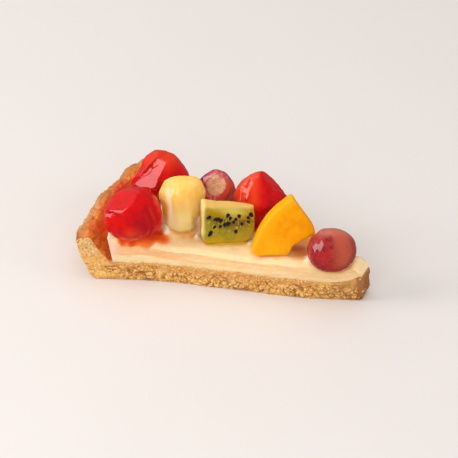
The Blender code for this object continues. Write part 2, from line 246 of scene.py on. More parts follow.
def bell(offset, width):
    """1 at no offset, fading smoothly over this width."""
    return np.exp(-(offset / width) ** 2)


def only(thing):
    """Select one object alone and make it the active one."""
    bpy.ops.object.select_all(action="DESELECT")
    thing.select_set(True)
    bpy.context.view_layer.objects.active = thing


def weld(piece, gap):
    """Join points closer than this gap, and turn all faces outward."""
    only(piece)
    bpy.ops.object.mode_set(mode="EDIT")
    bpy.ops.mesh.select_all(action="SELECT")
    bpy.ops.mesh.remove_doubles(threshold=gap * MM)
    bpy.ops.mesh.normals_make_consistent(inside=False)
    bpy.ops.object.mode_set(mode="OBJECT")


def solid_copy(node, name):
    """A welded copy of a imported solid, to be worked on."""
    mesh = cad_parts[node].data.copy()
    mesh.name = name
    mesh.materials.clear()
    piece = bpy.data.objects.new(name, mesh)
    bpy.context.collection.objects.link(piece)
    weld(piece, 0.01)
    return piece


def new_piece(name, corners, faces):
    """A piece made from corners in millimetres and faces."""
    mesh = bpy.data.meshes.new(name)
    mesh.from_pydata((corners * MM).tolist(), [], faces)
    piece = bpy.data.objects.new(name, mesh)
    bpy.context.collection.objects.link(piece)
    return piece


def remesh(piece, grain, smoothing):
    """Give the piece an even mesh of this grain, then ease out its steps."""
    voxels = piece.modifiers.new("grain", "REMESH")
    voxels.mode = "VOXEL"
    voxels.voxel_size = grain
    ease = piece.modifiers.new("ease", "SMOOTH")
    ease.factor = 0.5
    ease.iterations = smoothing
    only(piece)
    for modifier in (voxels.name, ease.name):
        bpy.ops.object.modifier_apply(modifier=modifier)


def points_of(piece):
    """The piece's points, in millimetres."""
    flat = np.empty(len(piece.data.vertices) * 3, dtype=np.float32)
    piece.data.vertices.foreach_get("co", flat)
    return flat.reshape(-1, 3).astype(float) / MM


def normals_of(piece):
    flat = np.empty(len(piece.data.vertices) * 3, dtype=np.float32)
    piece.data.vertices.foreach_get("normal", flat)
    return flat.reshape(-1, 3).astype(float)


def faces_of(piece):
    return [tuple(face.vertices) for face in piece.data.polygons]


def tree_of(piece):
    """The piece's surface, ready for finding the nearest place on it."""
    return BVHTree.FromPolygons(points_of(piece).tolist(), faces_of(piece))


def move_points(piece, points):
    piece.data.vertices.foreach_set("co", (points * MM).astype(np.float32).ravel())
    piece.data.update()


def soft_noise(points, size, seed, octaves=1):
    """Smooth noise, about -1 to 1. size is one width or three, along X, Y and Z."""
    scaled = points / np.asarray(size) + np.array([17.3, 5.1, 9.7]) * seed
    if octaves == 1:
        return np.array([noise.noise(Vector(spot)) for spot in scaled])
    return np.array([noise.fractal(Vector(spot), 0.9, 2.1, octaves) for spot in scaled])


def grains(points, size, seed):
    """Distance from the middle of the nearest grain and from the crack round it."""
    scaled = points / np.asarray(size) + np.array([3.7, 11.9, 7.3]) * seed
    near = np.array([noise.voronoi(Vector(spot))[0][:2] for spot in scaled])
    return near[:, 0], near[:, 1] - near[:, 0]


def paint(piece, name, *shares):
    """Store up to three shares for each point, for the piece's finish to read."""
    values = np.ones((len(piece.data.vertices), 4), dtype=np.float32)
    values[:, :3] = 0.0
    for channel, share in enumerate(shares):
        values[:, channel] = share
    layer = piece.data.attributes.new(name, "FLOAT_COLOR", "POINT")
    layer.data.foreach_set("color", values.ravel())


def finish_piece(piece, material, slot, *nodes):
    """Smooth, dress and hand over a piece that stands for these solids."""
    piece.data.materials.clear()
    piece.data.materials.append(material)
    only(piece)
    bpy.ops.object.shade_smooth()
    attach(piece, BODY)
    if nodes:
        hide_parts(*nodes)


def polar(points):
    """Distance from the tart's middle, and the share across from front cut to back cut."""
    x, y = (points - TART_CENTRE)[:, :2].T
    return np.hypot(x, y), np.arctan2(y, -x) / HALF_ANGLE


def cut_share(normals, distance):
    """1 on the faces that the knife made, 0 on the baked ones."""
    sides = np.max(normals @ np.stack([FRONT_CUT, BACK_CUT]).T, axis=1)
    end = (normals @ END_CUT) * smooth_step(30.0, 24.0, distance)
    return smooth_step(0.55, 0.85, np.maximum(sides, end))


def way_seen(across, up, toward):
    """A direction given by how far it points right, up and toward the viewer."""
    return across * TO_RIGHT + up * TO_TOP + toward * TO_EYE


class Fruit:
    """A piece of fruit at work: its points in millimetres, where it stands and how it turns."""

    def __init__(self, sizes, node, name, smoothing, yaw=FRUIT_YAW, pitch=0.0, roll=0.0):
        low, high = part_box(node)
        turn = Matrix.Rotation(math.radians(yaw), 4, "Z")
        turn = turn @ Matrix.Rotation(math.radians(pitch), 4, "X")
        turn = turn @ Matrix.Rotation(math.radians(roll), 4, "Y")
        self.placing = Matrix.Translation((Vector(low) + Vector(high)) / (2.0 * MM)) @ turn
        self.node = node
        self.middle = np.array(self.placing.translation)
        self.piece = solid_copy(node, name)
        remesh(self.piece, sizes.fruit_grain, smoothing)
        self.points = points_of(self.piece)
        self.normals = normals_of(self.piece)
        self.away = self.points - self.middle
        self.own = self.own_places()

    def own_places(self):
        """The points in the fruit's own, unturned frame."""
        back = np.array(self.placing.inverted())
        return self.points @ back[:3, :3].T + back[:3, 3]

    def turned(self, x, y, z):
        """A direction of the fruit's own frame, as it stands on the slice."""
        return self.placing.to_3x3() @ Vector((x, y, z))

    def seen(self):
        """How far the points lie right of, above and in front of the middle."""
        away = self.points - self.middle
        return away @ TO_RIGHT, away @ TO_TOP, away @ TO_EYE

    def noise(self, size, seed, octaves=1):
        return soft_noise(self.points, size, seed, octaves)

    def shave(self, facing, depth, soft):
        """Slice the shape flat where it stands further than depth from its middle this way."""
        way = np.array(Vector(facing).normalized())
        over = (self.points - self.middle) @ way - depth
        self.points = self.points - (soft * np.logaddexp(0.0, over / soft))[:, None] * way

    def push(self, step):
        """Move the points out along their first normals."""
        self.points = self.points + self.normals * step[:, None]

    def to_outline(self):
        """Ease the shape outward or inward until its outline passes the corners noted for it."""
        across, up, _ = self.seen()
        turn = np.mod(np.degrees(np.arctan2(up, across)), 360.0)
        width = np.hypot(across, up)
        degrees, reaches = zip(*OUTLINES[self.node])
        marks = np.linspace(0.0, 360.0, OUTLINE_STEPS + 1)
        ratio = np.ones(len(marks))
        for step, mark in enumerate(marks):
            near = np.abs(np.mod(turn - mark + 180.0, 360.0) - 180.0) < 3.0
            known = mark if mark <= degrees[-1] else mark - 360.0
            if known >= degrees[0]:
                wanted = np.interp(known, degrees, reaches)
                ratio[step] = np.clip(wanted / width[near].max(), 0.75, 1.3)
        gain = np.interp(turn, marks, ratio) - 1.0
        self.points = (self.points + np.outer(across * gain, TO_RIGHT)
                       + np.outer(up * gain, TO_TOP))

    def flat_patch(self, areas, ragged):
        """Flatten patches, as seen from the front, to the slope that catches the light."""
        across, up, toward = self.seen()
        best = np.full(len(self.points), -99.0)
        for corners in areas:
            inside = np.full(len(self.points), 99.0)
            for (x, y), (next_x, next_y) in zip(corners, corners[1:] + corners[:1]):
                side = (next_x - x) * (up - y) - (next_y - y) * (across - x)
                inside = np.minimum(inside, side / math.hypot(next_x - x, next_y - y))
            best = np.maximum(best, inside)
        front = toward > 0.0
        height = (self.points - self.middle) @ KEY_FACE
        level = np.median(height[(best > 0.2) & front])
        lift = np.clip((level - height) / (KEY_FACE @ TO_EYE), -3.0, 3.0)
        share = smooth_step(-0.2, 0.2, best + ragged) * front
        self.points = self.points + np.outer(share * lift, TO_EYE)

    def settle(self):
        """Give the piece its worked points, and store their places in the fruit's own frame."""
        move_points(self.piece, self.points)
        own = self.own_places()
        layer = self.piece.data.attributes.new("Own place", "FLOAT_VECTOR", "POINT")
        layer.data.foreach_set("vector", own.astype(np.float32).ravel())


# ---------------------------------------------------------------- finishes

class Finish:
    """A Principled material, and short calls for the nodes that feed it."""

    def __init__(self, name, **sockets):
        self.material = bpy.data.materials.new(name)
        self.material.use_nodes = True
        self.tree = self.material.node_tree
        self.shader = self.tree.nodes["Principled BSDF"]
        for socket, value in sockets.items():
            self.shader.inputs[socket.replace("_", " ")].default_value = value

    def add(self, kind, inputs=(), **settings):
        node = self.tree.nodes.new(kind)
        for key, value in settings.items():
            setattr(node, key, value)
        for key, value in dict(inputs).items():
            if isinstance(value, bpy.types.NodeSocket):
                self.tree.links.new(value, node.inputs[key])
            else:
                node.inputs[key].default_value = value
        return node

    def feed(self, socket, value):
        self.tree.links.new(value, self.shader.inputs[socket])

    def place(self):
        """Place in the slice's frame, in millimetres."""
        here = self.add("ShaderNodeTexCoord").outputs["Object"]
        return self.add("ShaderNodeVectorMath", {0: here, "Scale": 1000.0},
                        operation="SCALE").outputs["Vector"]

    def own_place(self):
        return self.add("ShaderNodeAttribute", attribute_name="Own place").outputs["Vector"]

    def painted(self, name):
        """The three shares that were painted on the piece."""
        colour = self.add("ShaderNodeAttribute", attribute_name=name).outputs["Color"]
        return self.add("ShaderNodeSeparateColor", {0: colour}).outputs[:3]

    def stretched(self, vector, x, y, z):
        """The same place measured in pieces of x, y and z millimetres."""
        return self.add("ShaderNodeVectorMath", {0: vector, 1: (1 / x, 1 / y, 1 / z)},
                        operation="MULTIPLY").outputs["Vector"]

    def noise(self, vector, size, detail=3.0, roughness=0.55, distortion=0.0):
        return self.add("ShaderNodeTexNoise", {
            "Vector": vector, "Scale": 1.0 / size, "Detail": detail,
            "Roughness": roughness, "Distortion": distortion}).outputs["Fac"]

    def cells(self, vector, size):
        return self.add("ShaderNodeTexVoronoi", {"Vector": vector,
                                                 "Scale": 1.0 / size}).outputs["Distance"]

    def range(self, value, low, high, top=1.0, bottom=0.0):
        """From bottom to top as the value goes from low to high."""
        return self.add("ShaderNodeMapRange", {
            "Value": value, "From Min": low, "From Max": high,
            "To Min": bottom, "To Max": top},
            interpolation_type="SMOOTHSTEP").outputs["Result"]

    def both(self, operation, first, second):
        return self.add("ShaderNodeMath", {0: first, 1: second},
                        operation=operation).outputs["Value"]

    def blend(self, share, first, second):
        node = self.add("ShaderNodeMix", data_type="RGBA", blend_type="MIX")
        for index, value in ((0, share), (6, first), (7, second)):
            if isinstance(value, bpy.types.NodeSocket):
                self.tree.links.new(value, node.inputs[index])
            else:
                node.inputs[index].default_value = (*value[:3], 1.0)
        return node.outputs[2]

    def over(self, body, share, colour, strength=1.0):
        """Lay a colour over the body where the share says. A tuple is a tone of 0 to 255."""
        if strength < 1.0:
            share = self.both("MULTIPLY", share, strength)
        return self.blend(share, body, tone(*colour) if isinstance(colour, tuple) else colour)

    def layers(self, body, *layers):
        """Lay colours over the body in turn, each given by its share, colour and strength."""
        for layer in layers:
            body = self.over(body, *layer)
        return body

    def finished(self, body, *reliefs):
        """The material in this colour, its skin raised by each relief: height socket and depth."""
        self.feed("Base Color", body)
        inputs = {}
        for height, depth in reliefs:
            inputs.update({"Height": height, "Distance": depth * MM, "Strength": 1.0})
            inputs["Normal"] = self.add("ShaderNodeBump", inputs).outputs["Normal"]
        if reliefs:
            self.feed("Normal", inputs["Normal"])
        return self.material


def moist_finish(name, spread, depth, weight, coat, roughness=0.4):
    """Moist flesh: how far each colour spreads in it, how deep and how much, and its glaze.

    The glaze is given by its weight, its roughness and how strongly it bends light.
    """
    look = Finish(name, Roughness=roughness, IOR=1.4, Specular_IOR_Level=0.0,
                  Subsurface_Weight=weight, Subsurface_Scale=depth * MM,
                  Coat_Weight=coat[0], Coat_Roughness=coat[1], Coat_IOR=coat[2])
    look.shader.inputs["Subsurface Radius"].default_value = spread
    return look


def crust_finish(colours):
    """Shortcrust. Painted on it: browning, cut face and glaze; cracks with painted shade, lumps
    and pores with painted shade in them; the end painted dark as shade, red juice and the golden
    lower stretch."""
    look = Finish("shortcrust", Roughness=0.72, IOR=1.4)
    here = look.place()
    browned, crumb, glazed = look.painted("Bake")
    crack, lump, pores = look.painted("Crumb")
    end, juice, base_low = look.painted("Tip")
    patches = look.noise(here, 5.0, detail=4.0)
    streaks = look.noise(look.stretched(here, 9.0, 9.0, 2.6), 1.0, detail=4.0)
    fine = look.noise(here, 0.8, detail=4.0, roughness=0.6)
    specks = look.noise(here, 0.7, detail=2.0)
    grain = look.noise(look.stretched(here, 1.2, 5.0, 2.0), 1.0, detail=4.0, roughness=0.6)
    skin = look.layers(
        colours.crust,
        (look.range(patches, 0.38, 0.66), (206, 148, 92)),
        (look.range(grain, 0.52, 0.66, 0.7), (172, 108, 58)),
        (look.range(fine, 0.5, 0.75, 0.5), (244, 196, 140)),
        (browned, colours.crust_dark))
    cut = look.layers(
        colours.crust_cut,
        (look.range(streaks, 0.42, 0.62), (220, 152, 70)),
        (look.range(fine, 0.52, 0.72, 0.4), (206, 134, 50)),
        (look.range(patches, 0.5, 0.68, 0.4), (248, 202, 136)),
        (look.range(base_low, 0.0, 0.6, 0.0, 0.35), (206, 140, 62)),
        (base_low, (255, 200, 108), 0.8),
        (pores, (240, 198, 150), 0.4),
        (look.range(specks, 0.54, 0.62, 0.5), (186, 118, 58)),
        (look.range(specks, 0.45, 0.37, 0.65), (255, 214, 154)),
        (lump, (255, 226, 166), 0.9),
        # painted shade in the cracks
        (crack, (166, 90, 26), 0.8),
        # painted shade on the end face
        (end, (150, 84, 48), 0.85))
    holes = look.range(look.cells(here, 0.7), 0.22, 0.36, 0.0, 1.0)
    # The pores darkened: painted shade in them
    cut = look.over(cut, look.both("MULTIPLY", holes, pores), (110, 64, 30), 0.75)
    base = look.blend(crumb, skin, cut)
    amber = look.over(tone(226, 132, 54), look.range(grain, 0.42, 0.62), (206, 92, 24))
    amber = look.blend(juice, amber, look.over(tone(240, 84, 34), grain, (214, 52, 24)))
    look.feed("Roughness", look.range(glazed, 0.2, 0.9, 0.16, 0.74))
    return look.finished(look.blend(glazed, base, amber), (fine, 0.2), (holes, 0.1))


def custard_finish(colours):
    """Custard. Painted on it: red stain, amber stain and lower band; peach band, top and a painted
    highlight on the glazed pink corner by the rim; olive stain, the deep pool with painted shadow
    and cream ridges with painted highlights."""
    look = Finish("custard", Roughness=0.42, IOR=1.42, Subsurface_Weight=0.25,
                  Subsurface_Scale=2.0 * MM)
    look.shader.inputs["Subsurface Radius"].default_value = (1.0, 0.6, 0.3)
    here = look.place()
    red, amber, low = look.painted("Stain")
    peach, top, glazed_corner_highlight = look.painted("Band")
    olive, pool_and_shadow, cream_ridge_highlight = look.painted("Pool")
    smear = look.noise(look.stretched(here, 12.0, 12.0, 1.5), 1.0, detail=3.0, roughness=0.5)
    clouds = look.noise(here, 3.2, detail=3.0)
    crumbly = look.noise(look.stretched(here, 2.0, 2.0, 0.9), 1.0, detail=4.0, roughness=0.6)
    body = look.layers(
        colours.custard,
        (low, colours.custard_low),
        (peach, (250, 188, 132)),
        (look.range(smear, 0.45, 0.7, 0.4), (248, 194, 130)),
        (look.range(clouds, 0.5, 0.75, 0.4), (255, 230, 186)),
        (look.range(crumbly, 0.52, 0.66, 0.4), (255, 234, 192)),
        (look.range(crumbly, 0.4, 0.3, 0.5), (236, 178, 112)),
        (top, (255, 230, 186), 0.35),
        (amber, colours.amber),
        # amber glaze, painted darker as the shadow under the mango
        (pool_and_shadow, (206, 112, 30)),
        (olive, (206, 168, 40), 0.85),
        # pale cream custard on the ridges, lighter still as a painted highlight
        (cream_ridge_highlight, (255, 238, 204), 0.85),
        # painted highlight on the glazed corner by the rim
        (glazed_corner_highlight, (253, 214, 200), 0.7),
        (look.range(red, 0.0, 0.45), (240, 128, 50)),
        (look.range(red, 0.45, 0.75), (228, 84, 22)),
        (look.range(red, 0.75, 1.0), colours.red_glaze))
    wet = look.both("MAXIMUM", look.both("MAXIMUM", red, amber),
                    look.both("MAXIMUM", top, glazed_corner_highlight))
    look.feed("Roughness", look.range(wet, 0.0, 0.6, 0.13, 0.46))
    return look.finished(body, (smear, 0.08), (clouds, 0.15), (crumbly, 0.08))


def strawberry_finish(colours):
    """Strawberry under clear glaze. Painted on it: pale flesh, dark flesh with painted shade in
    the back berry's groove, and painted shade in the seed pits.
    """
    look = moist_finish("strawberry", (1.0, 0.18, 0.1), 2.0, 0.2, coat=(1.0, 0.03, 1.4))
    own = look.own_place()
    pale, dark, pits = look.painted("Flesh")
    clouds = look.noise(own, 3.4, detail=3.0)
    fine = look.noise(own, 0.8, detail=3.0)
    body = look.layers(
        colours.strawberry,
        (look.range(clouds, 0.35, 0.7), (190, 8, 14)),
        (pale, colours.strawberry_pale),
        # dark skin, and painted shade in the back berry's groove
        (dark, (164, 10, 30), 0.6),
        (look.range(fine, 0.55, 0.75, 0.2), (222, 40, 30)),
        # painted shade in the seed pits
        (pits, (150, 30, 16)))
    return look.finished(body, (clouds, 0.08), (fine, 0.03))


def pineapple_finish(colours):
    """Pale yellow flesh with upright fibres. Painted on it: amber, a painted highlight down the
    left bevel, and the lower part painted lighter as light.
    """
    look = moist_finish("pineapple", (1.0, 0.6, 0.2), 5.0, 0.6, coat=(0.45, 0.12, 1.5))
    own = look.own_place()
    fibre = look.noise(look.stretched(own, 1.0, 1.0, 7.0), 1.0, detail=4.0, roughness=0.6)
    clouds = look.noise(own, 5.0, detail=2.0)
    amber, bevel_highlight, foot = look.painted("Flesh")
    body = look.layers(
        colours.pineapple,
        (look.range(clouds, 0.35, 0.7), (253, 200, 112)),
        (look.range(fibre, 0.48, 0.72, 0.5), (255, 212, 150)),
        # the lower part painted lighter, as light
        (foot, (255, 228, 158), 0.85),
        # painted highlight down the left bevel
        (bevel_highlight, (255, 224, 188)),
        (amber, (240, 172, 52)))
    return look.finished(body, (fibre, 0.14), (clouds, 0.2))


def kiwi_finish(colours):
    """Kiwi. Painted on it: pale core, seed ring and cut top; rays, yellow foot and a painted
    highlight down the left edge.
    """
    look = moist_finish("kiwi", (0.8, 0.7, 0.15), 2.5, 0.3, coat=(1.0, 0.05, 1.45))
    own = look.own_place()
    core, ring, top = look.painted("Flesh")
    rays, foot, edge = look.painted("Rays")
    clouds = look.noise(own, 2.2, detail=4.0, roughness=0.6)
    body = look.layers(
        colours.kiwi,
        (look.range(clouds, 0.35, 0.65), (176, 152, 20)),
        (ring, (116, 84, 10), 0.85),
        (rays, (206, 190, 96), 0.7),
        (foot, (204, 160, 12)),
        (core, colours.kiwi_core),
        (top, (232, 184, 96)),
        # painted highlight down the left edge
        (edge, (250, 226, 160)))
    return look.finished(body, (clouds, 0.2), (rays, 0.08))


def seed_finish(name, colour, roughness):
    look = Finish(name, Roughness=roughness, IOR=1.4, Coat_Weight=0.3, Coat_Roughness=0.1)
    mottle = look.noise(look.place(), 0.5, detail=2.0)
    dark = tuple(0.4 * part for part in colour)
    return look.finished(look.blend(mottle, colour, dark))


def mango_finish(colours):
    """Orange flesh with faint fibres. Painted on it: the paler outer band, and painted shade on
    the underside.
    """
    look = moist_finish("mango", (1.0, 0.45, 0.1), 3.0, 0.25, coat=(0.3, 0.25, 1.4))
    own = look.own_place()
    outer, shade, _ = look.painted("Flesh")
    clouds = look.noise(own, 4.0, detail=3.0, distortion=0.8)
    fibre = look.noise(look.stretched(own, 0.8, 4.0, 3.0), 1.0, detail=4.0)
    body = look.layers(
        colours.mango,
        (look.range(clouds, 0.35, 0.68), (246, 150, 6)),
        (look.range(fibre, 0.5, 0.75, 0.4), (253, 184, 34)),
        (outer, (251, 178, 26), 0.6),
        (shade, (226, 122, 20)))
    return look.finished(body, (clouds, 0.2), (fibre, 0.06))


def grape_finish(colours):
    """Red grape skin under clear glaze. Painted on it: brown skin, a painted reflection on the
    top, and dark patches with painted shade along the lower edge.
    """
    look = moist_finish("grape_skin", (1.0, 0.3, 0.2), 2.0, 0.2, coat=(1.0, 0.03, 1.45),
                        roughness=0.3)
    own = look.own_place()
    brown, pale, dark = look.painted("Skin")
    clouds = look.noise(own, 4.5, detail=4.0, distortion=0.6)
    specks = look.noise(own, 0.6, detail=3.0, roughness=0.7)
    body = look.layers(
        colours.grape,
        (look.range(clouds, 0.38, 0.66), (140, 32, 44)),
        (brown, colours.grape_brown),
        # painted reflection on the top
        (pale, (200, 110, 90)),
        # dark patches, and painted shade along the lower edge
        (dark, (128, 16, 24)),
        (look.range(specks, 0.54, 0.72, 0.5), (206, 112, 84)))
    return look.finished(body, (clouds, 0.12), (specks, 0.03))


def cut_grape_finish(colours):
    """Cut grape. Painted on it: skin, the cut's rim and pale veins; redder skin."""
    look = moist_finish("cut_grape", (1.0, 0.5, 0.3), 2.0, 0.3, coat=(1.0, 0.05, 1.48),
                        roughness=0.28)
    own = look.own_place()
    skin, rim, veins = look.painted("Flesh")
    red = look.painted("Red")[0]
    clouds = look.noise(own, 2.5, detail=3.0)
    flesh = look.over(colours.grape_flesh, look.range(clouds, 0.35, 0.7), (206, 142, 100))
    flesh = look.over(flesh, veins, (232, 190, 156))
    outside = look.over(tone(170, 44, 40), look.range(clouds, 0.4, 0.7), (140, 34, 50))
    body = look.blend(skin, flesh, outside)
    body = look.blend(rim, body, look.over(tone(202, 80, 86), veins, (236, 150, 140)))
    body = look.over(body, red, (192, 62, 46))
    return look.finished(body, (clouds, 0.2))


def floor_finish(colours):
    look = Finish("pale_floor", Roughness=0.55)
    cloud = look.noise(look.place(), 120.0, detail=2.0)
    shade = tuple(0.985 * part for part in colours.floor)
    return look.finished(look.blend(look.range(cloud, 0.3, 0.7), colours.floor, shade))


# ---------------------------------------------------------------- pastry

def tip_rise(distance):
    """How much the pastry's floor rises towards the narrow end."""
    beyond = distance - TIP_DISTANCE
    return TIP_RISE * bell(beyond, 5.5) + END_RISE * bell(beyond, 2.2)


class Pastry:
    """The crust at work: its points, the regions they lie in and the noises that roughen them."""

    def __init__(self, piece):
        self.points = points = points_of(piece)
        self.normals = normals = normals_of(piece)
        self.distance, self.share = polar(points)
        self.height = points[:, 2]
        self.cut = cut_share(normals, self.distance)
        self.under = smooth_step(-0.5, -0.9, normals[:, 2])
        self.top = smooth_step(0.3, 0.8, normals[:, 2])
        self.rim = smooth_step(110.0, 114.0, self.distance)
        self.tip = smooth_step(20.0, 14.5, self.distance)
        self.edge = smooth_step(1.5, 0.0, self.height) * (1.0 - self.under)
        self.swells = soft_noise(points, 8.0, 5)
        self.dents = soft_noise(points, 2.4, 6)
        self.rough = soft_noise(points, 1.1, 14)
        self.notches = smooth_step(0.15, 0.5, soft_noise(points, 3.4, 15))
        self.lumps = soft_noise(points, 2.2, 3)
        self.waves = soft_noise(points, (9.0, 9.0, 3.0), 4)
        self.where = soft_noise(points, 9.0, 10)
        low = smooth_step(6.6, 3.2, self.height + 2.0 * soft_noise(points, 6.0, 8))
        self.low = low * (1.0 - 0.75 * smooth_step(104.0, 112.0, self.distance))
        bent = points + 0.9 * np.stack([soft_noise(points, 2.0, seed) for seed in (11, 12, 13)],
                                       axis=1)
        self.middle, crack = grains(bent, (2.6, 2.6, 1.9), 1)
        self.small_middle, small_crack = grains(bent, 1.2, 2)
        self.gap = smooth_step(0.15, 0.03, crack) * self.low
        self.small_gap = smooth_step(0.16, 0.03, small_crack) * (0.35 + 0.65 * self.low)
        self.small_gap *= smooth_step(-0.1, 0.3, self.lumps)
        layers = soft_noise(points, (7.0, 7.0, 1.3), 9)
        self.split = smooth_step(0.1, 0.02, np.abs(layers)) * smooth_step(0.05, 0.35, self.where)
        self.split *= smooth_step(7.6, 6.2, self.height)

    def crumbled(self, relief):
        """How far the crumb stands out of the cuts: coarse below, and finer above."""
        coarse = 1.3 * (0.5 - self.middle) + 0.7 * (0.45 - self.small_middle)
        gaps = self.gap * (0.4 + 0.6 * (self.lumps > 0.0)) + 0.6 * self.small_gap + self.split
        crumb = (self.low * coarse + 0.6 * self.lumps * (0.5 + self.low) + 0.9 * self.waves
                 - gaps)
        return self.cut * (relief * crumb + 0.16 * self.rough)

    def baked(self, relief):
        """How uneven the baked sides are: smoother where they face the filling."""
        facing = smooth_step(0.1, 0.6, self.normals @ RIM_WALL)
        uneven = 1.1 * self.swells + (0.5 * self.dents + 0.35 * self.rough) * (1.0 - 0.7 * facing)
        return (1.0 - self.cut) * (1.0 - self.under) * relief * uneven

    def shaped(self, sizes):
        """The worked points: rough sides, a notched crest, a worn foot and a bulging end."""
        step = self.crumbled(sizes.crumb_relief / MM) + self.baked(sizes.rim_relief / MM)
        moved = self.points + self.normals * step[:, None]

        crest = self.rim * self.top
        ragged = 0.7 * self.swells + 0.3 * self.dents + 0.15 * self.rough - 0.6 * self.notches
        near_cut = smooth_step(-0.55, -0.95, self.share) * smooth_step(119.0, 124.0, self.distance)
        moved[:, 2] += crest * (ragged - 1.5 * near_cut)

        lip = self.rim * smooth_step(15.0, 17.5, self.height) * (1.0 - self.cut)
        lip *= smooth_step(121.0, 124.0, self.distance) * smooth_step(-0.98, -0.6, self.share)
        lip *= 0.3 + 0.5 * self.swells + 0.4 * self.rough - 0.7 * self.notches
        outward = (self.points - TART_CENTRE) * np.array([1.0, 1.0, 0.0])
        outward /= np.linalg.norm(outward, axis=1)[:, None]
        moved += outward * (0.7 * lip)[:, None]

        worn = self.edge * np.clip(0.45 + soft_noise(self.points, 2.6, 7), 0.0, 1.2)
        moved -= self.normals * np.array([1.0, 1.0, 0.0]) * (1.2 * worn)[:, None]

        bulge = smooth_step(-0.8, 2.4, self.height) * smooth_step(12.0, 6.0, self.height)
        moved[:, 0] += 1.5 * self.tip * np.clip(self.normals[:, 0], 0.0, 1.0) * bulge
        moved[:, 2] += tip_rise(self.distance) * smooth_step(3.0, 7.4, self.height)
        moved[:, 2] = np.where(self.under > 0.4, self.height, np.maximum(moved[:, 2], 0.0))
        return moved

    def glazed(self):
        """Where juice coats the rim's inner wall and spills over its crest."""
        inner = self.rim * smooth_step(-0.1, 0.5, self.normals @ RIM_WALL)
        ragged = 1.6 * self.swells + 0.8 * self.dents + 0.5 * self.rough
        spill = self.top * self.rim * smooth_step(121.8, 119.8, self.distance + ragged)
        return (1.0 - self.cut) * np.clip(inner + spill, 0.0, 1.0)

    def juiced(self, glaze):
        """Where that juice is red, beside the front berry and behind the back one."""
        places = [middle_of("strawberry_" + name)[1] for name in ("front", "back")]
        beside, behind = (self.points[:, 1] - place for place in places)
        juice = bell(beside - 6.0, 9.0) * smooth_step(-0.5, 0.3, self.swells)
        juice = glaze * np.maximum(juice, bell(behind - 1.0, 6.0))
        return juice * smooth_step(11.0, 16.0, self.height)

    def paint(self, piece):
        """Store where the crust is browned, cut, glazed, lumpy, porous or golden, where its cracks
        get painted shade and where its end is painted dark as shade.
        """
        outer = np.clip(self.normals[:, 0] - 0.5, 0.0, 1.0)
        # Browning is baked; the tip's faces turned toward +X are painted browner, as shade
        browned = np.clip(self.rim * self.top * (0.55 + 0.7 * self.waves)
                          + 0.3 * self.rim * smooth_step(11.0, 17.0, self.height)
                          + 0.35 * self.edge + 0.55 * self.tip * outer, 0.0, 1.0)
        patch = 0.65 * bell(self.distance - 21.0, 4.5) * bell(self.height - 6.2, 2.0)
        patch *= self.share < 0.0
        glaze = self.glazed()

        # Painted shade in the cracks between the grains
        crack_shade = np.clip(self.gap + 0.7 * self.small_gap + self.split, 0.0, 1.0) * self.cut
        pale = smooth_step(0.42, 0.2, self.middle) * self.low
        pale *= smooth_step(0.0, 0.4, self.where + self.lumps)
        pores = self.cut * self.rim * smooth_step(9.0, 13.0, self.height)

        # The end face, and the front cut next to it, are painted dark as shade
        end = np.clip(self.normals[:, 0], 0.0, 1.0) * smooth_step(26.0, 20.0, self.distance)
        end = np.maximum(end, smooth_step(17.0, 16.1, self.distance + 0.3 * self.rough))
        golden = np.maximum.reduce([smooth_step(6.5, 2.5, self.height), 0.5 * self.rim,
                                    0.9 * smooth_step(36.0, 24.0, self.distance)])
        paint(piece, "Tip", end, self.juiced(glaze), golden)
        paint(piece, "Bake", np.maximum(browned, patch), self.cut * (1.0 - 0.8 * patch), glaze)
        paint(piece, "Crumb", crack_shade, pale * self.cut, pores)


def middle_of(node):
    """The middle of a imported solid's box, in millimetres."""
    low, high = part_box(node)
    return (np.array(low) + np.array(high)) / (2.0 * MM)


class TART_OT_crust(bpy.types.Operator):
    """Work the crust's solid into crumbly cuts, a browned rim and a flat underside"""
    bl_idname = "tart.crust"
    bl_label = "Crust"

    def execute(self, context):
        sizes = context.scene.tart_sizes
        piece = solid_copy("crust_shell", "crust")
        remesh(piece, sizes.crust_grain, smoothing=1)
        pastry = Pastry(piece)
        move_points(piece, pastry.shaped(sizes))
        pastry.paint(piece)
        finish_piece(piece, crust_finish(context.scene.tart_colours), "crust", "crust_shell")
        return {"FINISHED"}


